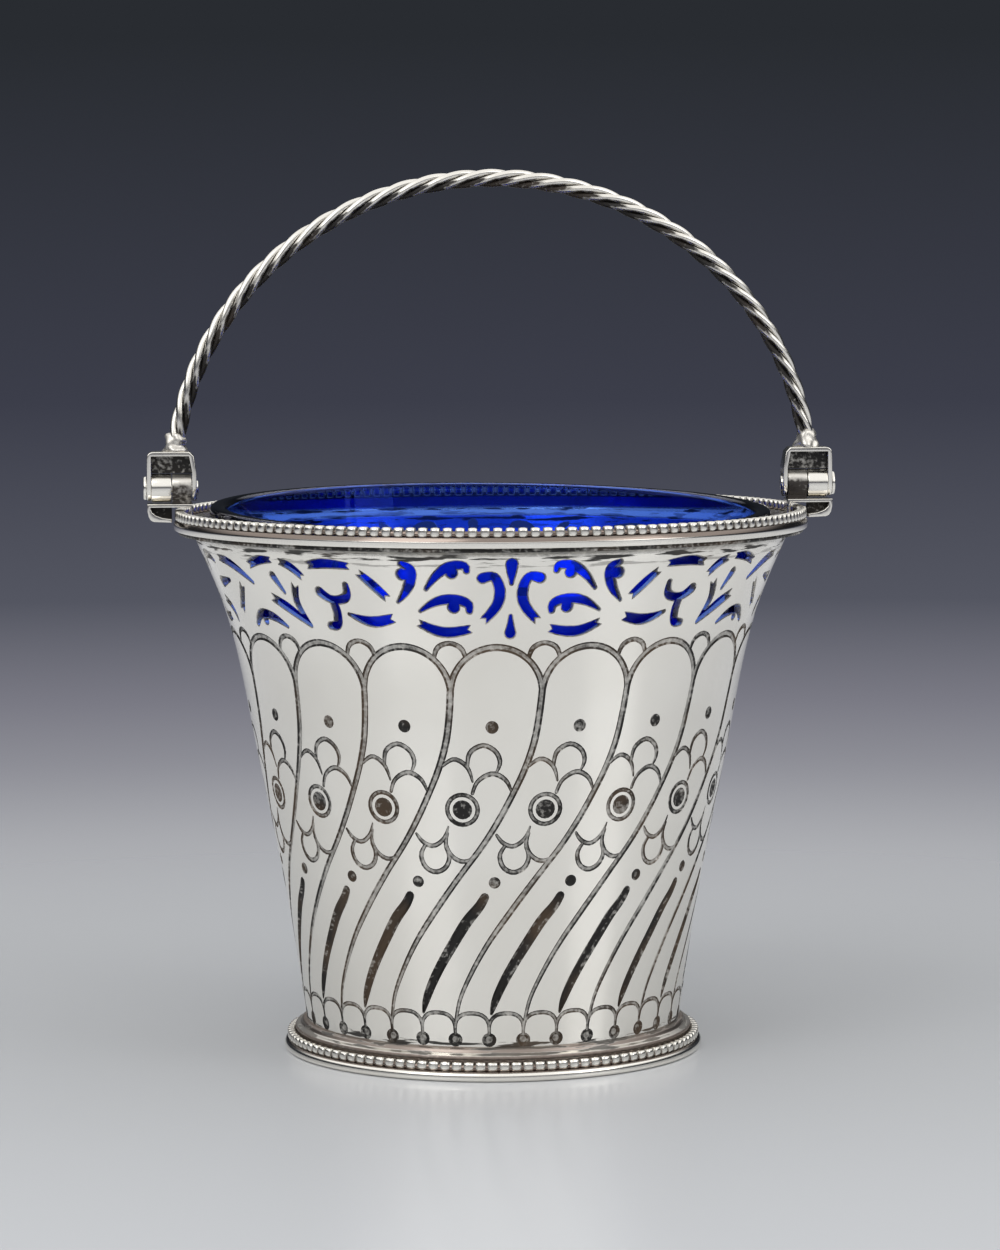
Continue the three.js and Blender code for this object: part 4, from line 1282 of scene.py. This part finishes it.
# Twisted bail: four wires laid round half an ellipse
bailSizes = {
    "span": 44.25, "rise": 42.2, "foot": 83.85, "middle": 78.72, "wire": 1.0, "lay": 0.76,
    "lean": 0.33,         # to the right, as it was bent by hand
    "turns": 8, "wires": 4, "stations": 360,
    "gaps": (0.85, 0.6),         # clean and black, as distances from the heart of the twist: sulphide and painted shadow and on the inner side of the arch, where the gaps are painted shade where that side begins and is full, as heights over the heart and where the underside is painted black all through, as shade
    "shadedGapsUnder": (1.262, 1.17),  # and on the inner side of the arch, where no cloth reaches
    "under": (0.1, -0.2),        # where that side begins and is full, as heights over the heart
    "edge": (-0.95, -1.1),       # and where it is black all through
    "black": 1.5,
}


# One wire, wound round the line that it is given, as a Geometry Nodes tree
def wireTree():
    tree, given = newTree("laidWire", {
        "Geometry": "Geometry", "Wire radius": "Float", "Lay radius": "Float", "Turns": "Float",
        "Phase": "Float", "Metal": "Material",
    })
    index = addNode(tree, "GeometryNodeInputIndex").outputs["Index"]
    number = addNode(tree, "GeometryNodeSplineLength").outputs["Point Count"]
    last = addNode(
        tree, "ShaderNodeMath", {"operation": "SUBTRACT"}, values={1: 1.0}, links={0: number}
    ).outputs[0]
    share = addNode(
        tree, "ShaderNodeMath", {"operation": "DIVIDE"}, links={0: index, 1: last}
    ).outputs[0]
    radians = addNode(
        tree, "ShaderNodeMath", {"operation": "MULTIPLY"}, values={1: -2 * math.pi},
        links={0: given["Turns"]},
    ).outputs[0]
    twist = addNode(
        tree, "ShaderNodeMath", {"operation": "MULTIPLY_ADD"},
        links={0: share, 1: radians, 2: given["Phase"]},
    ).outputs[0]
    cosine = addNode(tree, "ShaderNodeMath", {"operation": "COSINE"}, links={0: twist}).outputs[0]
    sine = addNode(tree, "ShaderNodeMath", {"operation": "SINE"}, links={0: twist}).outputs[0]
    tangent = addNode(tree, "GeometryNodeInputTangent").outputs["Tangent"]
    outward = addNode(
        tree, "ShaderNodeVectorMath", {"operation": "CROSS_PRODUCT"}, values={1: (0, 1, 0)},
        links={0: tangent},
    ).outputs[0]
    lift = addNode(
        tree, "ShaderNodeVectorMath", {"operation": "SCALE"}, links={0: outward, "Scale": cosine}
    ).outputs[0]
    forward = addNode(
        tree, "ShaderNodeVectorMath", {"operation": "SCALE"}, values={0: (0, -1, 0)},
        links={"Scale": sine},
    ).outputs[0]
    both = addNode(
        tree, "ShaderNodeVectorMath", {"operation": "ADD"}, links={0: lift, 1: forward}
    ).outputs[0]
    offset = addNode(
        tree, "ShaderNodeVectorMath", {"operation": "SCALE"},
        links={0: both, "Scale": given["Lay radius"]},
    ).outputs[0]
    laid = addNode(
        tree, "GeometryNodeSetPosition", links={"Geometry": given["Geometry"], "Offset": offset}
    ).outputs["Geometry"]
    section = addNode(
        tree, "GeometryNodeCurvePrimitiveCircle", values={"Resolution": 16},
        links={"Radius": given["Wire radius"]},
    ).outputs["Curve"]
    wire = addNode(
        tree, "GeometryNodeCurveToMesh", values={"Fill Caps": True},
        links={"Curve": laid, "Profile Curve": section},
    ).outputs["Mesh"]
    return finishTree(tree, wire, given["Metal"])


# The heart of the twist, from the left collar over to the right one
def bailPath():
    s = bailSizes
    start = math.asin((s["foot"] - s["middle"]) / s["rise"])
    curve = bpy.data.curves.new("bailPath", "CURVE")
    curve.dimensions = "3D"
    spline = curve.splines.new("POLY")
    spline.points.add(s["stations"] - 1)
    for i, angle in enumerate(np.linspace(math.pi - start, start, s["stations"])):
        x = s["span"] * math.cos(angle) + s["lean"]
        z = s["middle"] + s["rise"] * math.sin(angle)
        spline.points[i].co = (x * mm, 0, z * mm, 1)
    return objectOf("bailPath", curve)


# Blackens a wire in the gaps of the twist, as sulphide and painted shadow, most of all on the
# inner side of the arch, whose gaps and underside are painted shade
def tarnishAndShadeWire(piece):
    s = bailSizes
    mesh = piece.data
    points = np.zeros(len(mesh.vertices) * 3)
    mesh.vertices.foreach_get("co", points)
    x, y, z = points.reshape(-1, 3).T / mm
    x, z = x - s["lean"], z - s["middle"]
    angle = np.arctan2(z / s["rise"], x / s["span"])
    radial = np.hypot(x, z) - np.hypot(s["span"] * np.cos(angle), s["rise"] * np.sin(angle))
    fromHeart = np.hypot(radial, y)

    def share(values, none, full):
        return np.clip((values - none) / (full - none), 0, 1)

    # painted shade on the inner side of the arch and on the underside of the twist
    under = share(radial, *s["under"]) * share(fromHeart, *s["shadedGapsUnder"])
    black = np.maximum(share(fromHeart, *s["gaps"]), under)
    black = s["black"] * np.maximum(black, share(radial, *s["edge"]))
    marks = mesh.attributes.new("tarnishAndShade", "FLOAT", "POINT")
    marks.data.foreach_set("value", black.astype(np.float32))


laidWireTree = wireTree()
for number in range(bailSizes["wires"]):
    wire = grown("bailWire" + str(number + 1), bailPath(), laidWireTree, {
        "Wire radius": bailSizes["wire"] / 2 * mm,
        "Lay radius": bailSizes["lay"] * mm,
        "Turns": float(bailSizes["turns"]),
        "Phase": 2 * math.pi * number / bailSizes["wires"],
        "Metal": wireSilver,
    })
    wire.data.polygons.foreach_set("use_smooth", [True] * len(wire.data.polygons))
    wire.data.set_sharp_from_angle(angle=math.radians(50))
    tarnishAndShadeWire(wire)
    dress(wire, "bail_wire_" + str(number + 1), "bail")
print("bail wires ready")


# Cuts a soft edge on a copy of a CAD solid. Black says how dark it is painted at a place, which
# on the hinges is painted shade.
def softened(node, name, material, edge, black):
    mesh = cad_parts[node].data.copy()
    mesh.materials.clear()
    mesh.materials.append(material)
    work = bmesh.new()
    work.from_mesh(mesh)
    bmesh.ops.remove_doubles(work, verts=work.verts, dist=0.002 * mm)
    bmesh.ops.dissolve_limit(
        work, angle_limit=math.radians(2), verts=work.verts, edges=work.edges
    )
    crease = math.radians(35)
    sharp = [e for e in work.edges if e.is_manifold and e.calc_face_angle() > crease]
    bmesh.ops.bevel(
        work, geom=sharp, offset=edge * mm, segments=3, profile=0.5, affect="EDGES",
        clamp_overlap=True,
    )
    bmesh.ops.triangulate(work, faces=[f for f in work.faces if len(f.verts) > 4])
    work.to_mesh(mesh)
    work.free()
    mesh.name = name
    mesh.polygons.foreach_set("use_smooth", [True] * len(mesh.polygons))
    mesh.set_sharp_from_angle(angle=crease)
    marks = mesh.attributes.new("tarnishAndShade", "FLOAT", "POINT")
    shares = [black(vertex.co / mm) for vertex in mesh.vertices]
    marks.data.foreach_set("value", np.array(shares, np.float32))
    return objectOf(name, mesh)


# Hinges: strip stirrup and bracket, two knuckles, the riveted pin and the solder collar
hingeSizes = {
    "axis": 78.45, "knuckle": 1.98, "bore": 0.92, "pin": 0.65,
    "yokeKnuckle": (44.22, 46.97), "pinEnds": (40.9, 47.66),
    "head": 1.6, "tail": 1.0, "headHeight": 0.4, "edge": 0.09, "saddleEdge": 0.06,
    "webHalf": 0.6,       # half the width of the strips' middle, which is painted black as shade
    "webPaintedShade": 1.15,
    "webDrop": 0.2,       # of the stirrup's web, to lie close over the knuckles
    "shadow": (0.9, 1.2, 0.1),    # of the bracket's knuckle: its top over the pin, and how dark the painted shadow is below and above it
                                  # and above it
    "saddleEnd": 41.8, "saddleGrowth": 0.17,  # inner end of the bracket's knuckle, drawn out
    "collar": [
        (0, 83.5, 0), (1.75, 83.5, 0.15), (1.7, 83.85, 0.3), (1.42, 84.4, 0.4), (1.38, 85.2, 0.5),
        (1.05, 86.05, 0.35), (0, 86.1, 0),
    ],
    "collarOut": 43.92,   # from the middle of the bail
    "lump": 1.2,          # across one lump of solder
    "lumpDepth": 0.2,     # as a share of the radius
    "solderBlack": 0.22,
}


# Moves some of a piece's points, chosen by their place in millimetres
def nudge(piece, isChosen, by):
    for vertex in piece.data.vertices:
        if isChosen(vertex.co / mm):
            vertex.co += Vector(by) * mm


# Lump of hard solder that holds the wires' ends on the stirrup
def solderCollar(side, word):
    s = hingeSizes
    collar = turnedPiece("collar" + word.title(), s["collar"], stainedSilver, 40)
    out = (side * s["collarOut"] + bailSizes["lean"]) * mm
    for vertex in collar.data.vertices:
        lump = noise.noise(vertex.co / (s["lump"] * mm) + Vector((5 * side, 0, 0)))
        swelling = 1 + s["lumpDepth"] * 2 * lump
        vertex.co.x = vertex.co.x * swelling + out
        vertex.co.y *= swelling
    marks = collar.data.attributes["tarnishAndShade"]
    marks.data.foreach_set("value", np.full(len(marks.data), s["solderBlack"], np.float32))
    return collar


def buildHinge(side, word):
    s = hingeSizes
    title = word.title()
    web = s["axis"] + s["knuckle"]

    # painted shade: the recessed middle of the strips, where shade falls, is painted black
    def webPaintedShade(place):
        return s["webPaintedShade"] if abs(place.y) < s["webHalf"] else 0

    # painted shadow on the bracket's knuckle, darkest below its top
    def knuckleShadow(place):
        top, below, above = s["shadow"]
        return below if place.z - s["axis"] < top else above

    def isWeb(place):
        return abs(place.y) < s["webHalf"] and web < place.z < web + 0.5

    yoke = softened("bail_yoke_" + word, "yoke" + title, silver, s["edge"], webPaintedShade)
    nudge(yoke, isWeb, (0, 0, -s["webDrop"]))
    dress(yoke, "bail_yoke_" + word, "bail")
    bracket = softened("hinge_bracket_" + word, "bracket" + title, silver, s["edge"], webPaintedShade)
    dress(bracket, "hinge_bracket_" + word, "pail")
    saddle = softened(
        "bracket_knuckle_" + word, "bracketKnuckle" + title, stainedSilver, s["saddleEdge"],
        knuckleShadow,
    )
    nudge(saddle, lambda p: abs(p.x) < s["saddleEnd"], (-side * s["saddleGrowth"], 0, 0))
    dress(saddle, "bracket_knuckle_" + word, "pail")
    x0, x1 = s["yokeKnuckle"]
    tube = [
        (s["bore"], x0, 0), (s["knuckle"], x0, 0.12), (s["knuckle"], x1, 0.12), (s["bore"], x1, 0),
    ]
    knuckle = turnedPiece("yokeKnuckle" + title, tube, silver, 64, s["axis"], side=side)
    dress(knuckle, "yoke_knuckle_" + word, "bail")
    x0, x1 = s["pinEnds"]
    height = s["headHeight"]
    shaft = [
        (0, x0 - height, 0), (s["tail"], x0 - height, 0.45), (s["tail"], x0, 0.05), (s["pin"], x0, 0),
        (s["pin"], x1, 0), (s["head"], x1, 0.05), (s["head"], x1 + height, 0.5), (0, x1 + height, 0),
    ]
    pin = turnedPiece("hingePin" + title, shaft, silver, 48, s["axis"], side=side)
    dress(pin, "hinge_pin_" + word, "bail")
    dress(solderCollar(side, word), "bail_collar_" + word, "bail")


for side, word in ((1, "right"), (-1, "left")):
    buildHinge(side, word)
print("hinges ready")


# Floor, light and camera
studio = {
    "floor": "#d2d4d7",
    "floorRoughness": (0.16, 0.24),
    "floorPatches": 6,          # patches of it to a metre
    "floorFade": (0.06, 0.36),  # metres from the pail over which it gives way to the backdrop
    "low": "#d6d8dc",
    "surround": [             # colour, level, the sines of elevation over which it takes over,
        ("#a3a4aa", 1.0, -0.21, -0.137, 0.12),  # and how much higher they are in front
        ("#7a7a84", 1.0, -0.137, -0.105, 0.12),
        ("#545661", 1.0, -0.105, -0.082, 0.12),
        ("#3c3e4a", 1.0, -0.082, -0.037, 0.12),
        ("#292c31", 1.0, -0.037, 0.045, 0.12),
        ("#ffffff", 1.12, 0.32, 0.52, -0.18),
    ],
    "lens": 126.67,
    "place": (-0.04136, -0.60902, 0.11290),
    "pitch": 0.0881453,
    "heading": 4.0,
    "roll": -0.0043188,
    "lamps": [                # name, place, size and watts
        ("keySoftbox", (-0.5, -0.6, 0.75), (0.5, 0.7), 2.4),
        ("fillSoftbox", (0.65, -0.45, 0.5), (0.4, 0.6), 1.2),
    ],
}


def buildFloor():
    corners = [(4000 * x, 4000 * y, -0.02) for x, y in ((-1, -1), (1, -1), (1, 1), (-1, 1))]
    floor = meshObject("floor", corners, [(0, 1, 2, 3)], floorMaterial(), False)


# Satin acrylic sheet: pale, with a faint mirror of what stands on it
def floorMaterial():
    material, tree = newMaterial("acrylicSheetSatin")
    coords = addNode(tree, "ShaderNodeTexCoord").outputs["Object"]
    drift = addNode(
        tree, "ShaderNodeTexNoise", values={"Scale": studio["floorPatches"], "Detail": 2},
        links={"Vector": coords},
    ).outputs["Fac"]
    low, high = studio["floorRoughness"]
    rough = addNode(
        tree, "ShaderNodeMapRange", values={"To Min": low, "To Max": high}, links={"Value": drift}
    ).outputs["Result"]
    sheet = addNode(
        tree, "ShaderNodeBsdfPrincipled",
        values={"Base Color": linearColour(studio["floor"])}, links={"Roughness": rough},
    ).outputs["BSDF"]
    away = addNode(
        tree, "ShaderNodeVectorMath", {"operation": "LENGTH"}, links={0: coords}
    ).outputs["Value"]
    near, far = studio["floorFade"]
    gone = addNode(
        tree, "ShaderNodeMapRange", {"interpolation_type": "SMOOTHSTEP"},
        values={"From Min": near, "From Max": far}, links={"Value": away},
    ).outputs["Result"]
    clear = addNode(tree, "ShaderNodeBsdfTransparent").outputs["BSDF"]
    mixed = addNode(tree, "ShaderNodeMixShader", links={"Fac": gone, 1: sheet, 2: clear}).outputs[0]
    addNode(tree, "ShaderNodeOutputMaterial", links={"Surface": mixed})
    return material


# Studio surround: pale below, a slate backdrop at eye level, a white ceiling of light above
def buildWorld():
    world = bpy.data.worlds.new("studio")
    bpy.context.scene.world = world
    world.use_nodes = True
    tree = world.node_tree
    tree.nodes.clear()
    direction = addNode(tree, "ShaderNodeTexCoord").outputs["Generated"]
    parts = addNode(tree, "ShaderNodeSeparateXYZ", links={"Vector": direction}).outputs
    front = addNode(
        tree, "ShaderNodeMapRange", values={"From Min": 0.2, "From Max": -0.8},
        links={"Value": parts["Y"]},
    ).outputs["Result"]
    colour = addNode(tree, "ShaderNodeRGB").outputs[0]
    colour.default_value = linearColour(studio["low"])
    for hexText, level, low, high, lift in studio["surround"]:
        height = addNode(
            tree, "ShaderNodeMath", {"operation": "MULTIPLY_ADD"}, values={1: -lift},
            links={0: front, 2: parts["Z"]},
        ).outputs[0]
        share = addNode(
            tree, "ShaderNodeMapRange", values={"From Min": low, "From Max": high},
            links={"Value": height},
        ).outputs["Result"]
        channels = [channel * level for channel in linearColour(hexText)]
        colour = addNode(
            tree, "ShaderNodeMix", {"data_type": "RGBA"}, values={"B": channels},
            links={"Factor": share, "A": colour},
        ).outputs["Result"]
    light = addNode(tree, "ShaderNodeBackground", links={"Color": colour}).outputs["Background"]
    addNode(tree, "ShaderNodeOutputWorld", links={"Surface": light})


def addLamp(name, place, size, power):
    data = bpy.data.lights.new(name, "AREA")
    data.shape = "RECTANGLE"
    data.size, data.size_y = size
    data.energy = power
    lamp = objectOf(name, data)
    lamp.location = place
    towards = Vector((0, 0, 0.06)) - Vector(place)
    lamp.rotation_euler = towards.to_track_quat("-Z", "Y").to_euler()


def buildCamera():
    data = bpy.data.cameras.new("camera")
    data.sensor_fit = "VERTICAL"
    data.sensor_height = 36
    data.lens = studio["lens"]
    data.clip_start = 0.01
    camera = objectOf("camera", data)
    camera.rotation_mode = "QUATERNION"
    tilt = math.pi / 2 - studio["pitch"]
    aim = Euler((tilt, 0, -math.radians(studio["heading"]))).to_quaternion()
    camera.rotation_quaternion = aim @ Quaternion((0, 0, 1), studio["roll"])
    camera.location = studio["place"]
    bpy.context.scene.camera = camera


buildFloor()
buildWorld()
for lamp in studio["lamps"]:
    addLamp(*lamp)
buildCamera()
bpy.context.scene.view_settings.view_transform = "Standard"

bpy.context.view_layer.update()
print("scene ready")
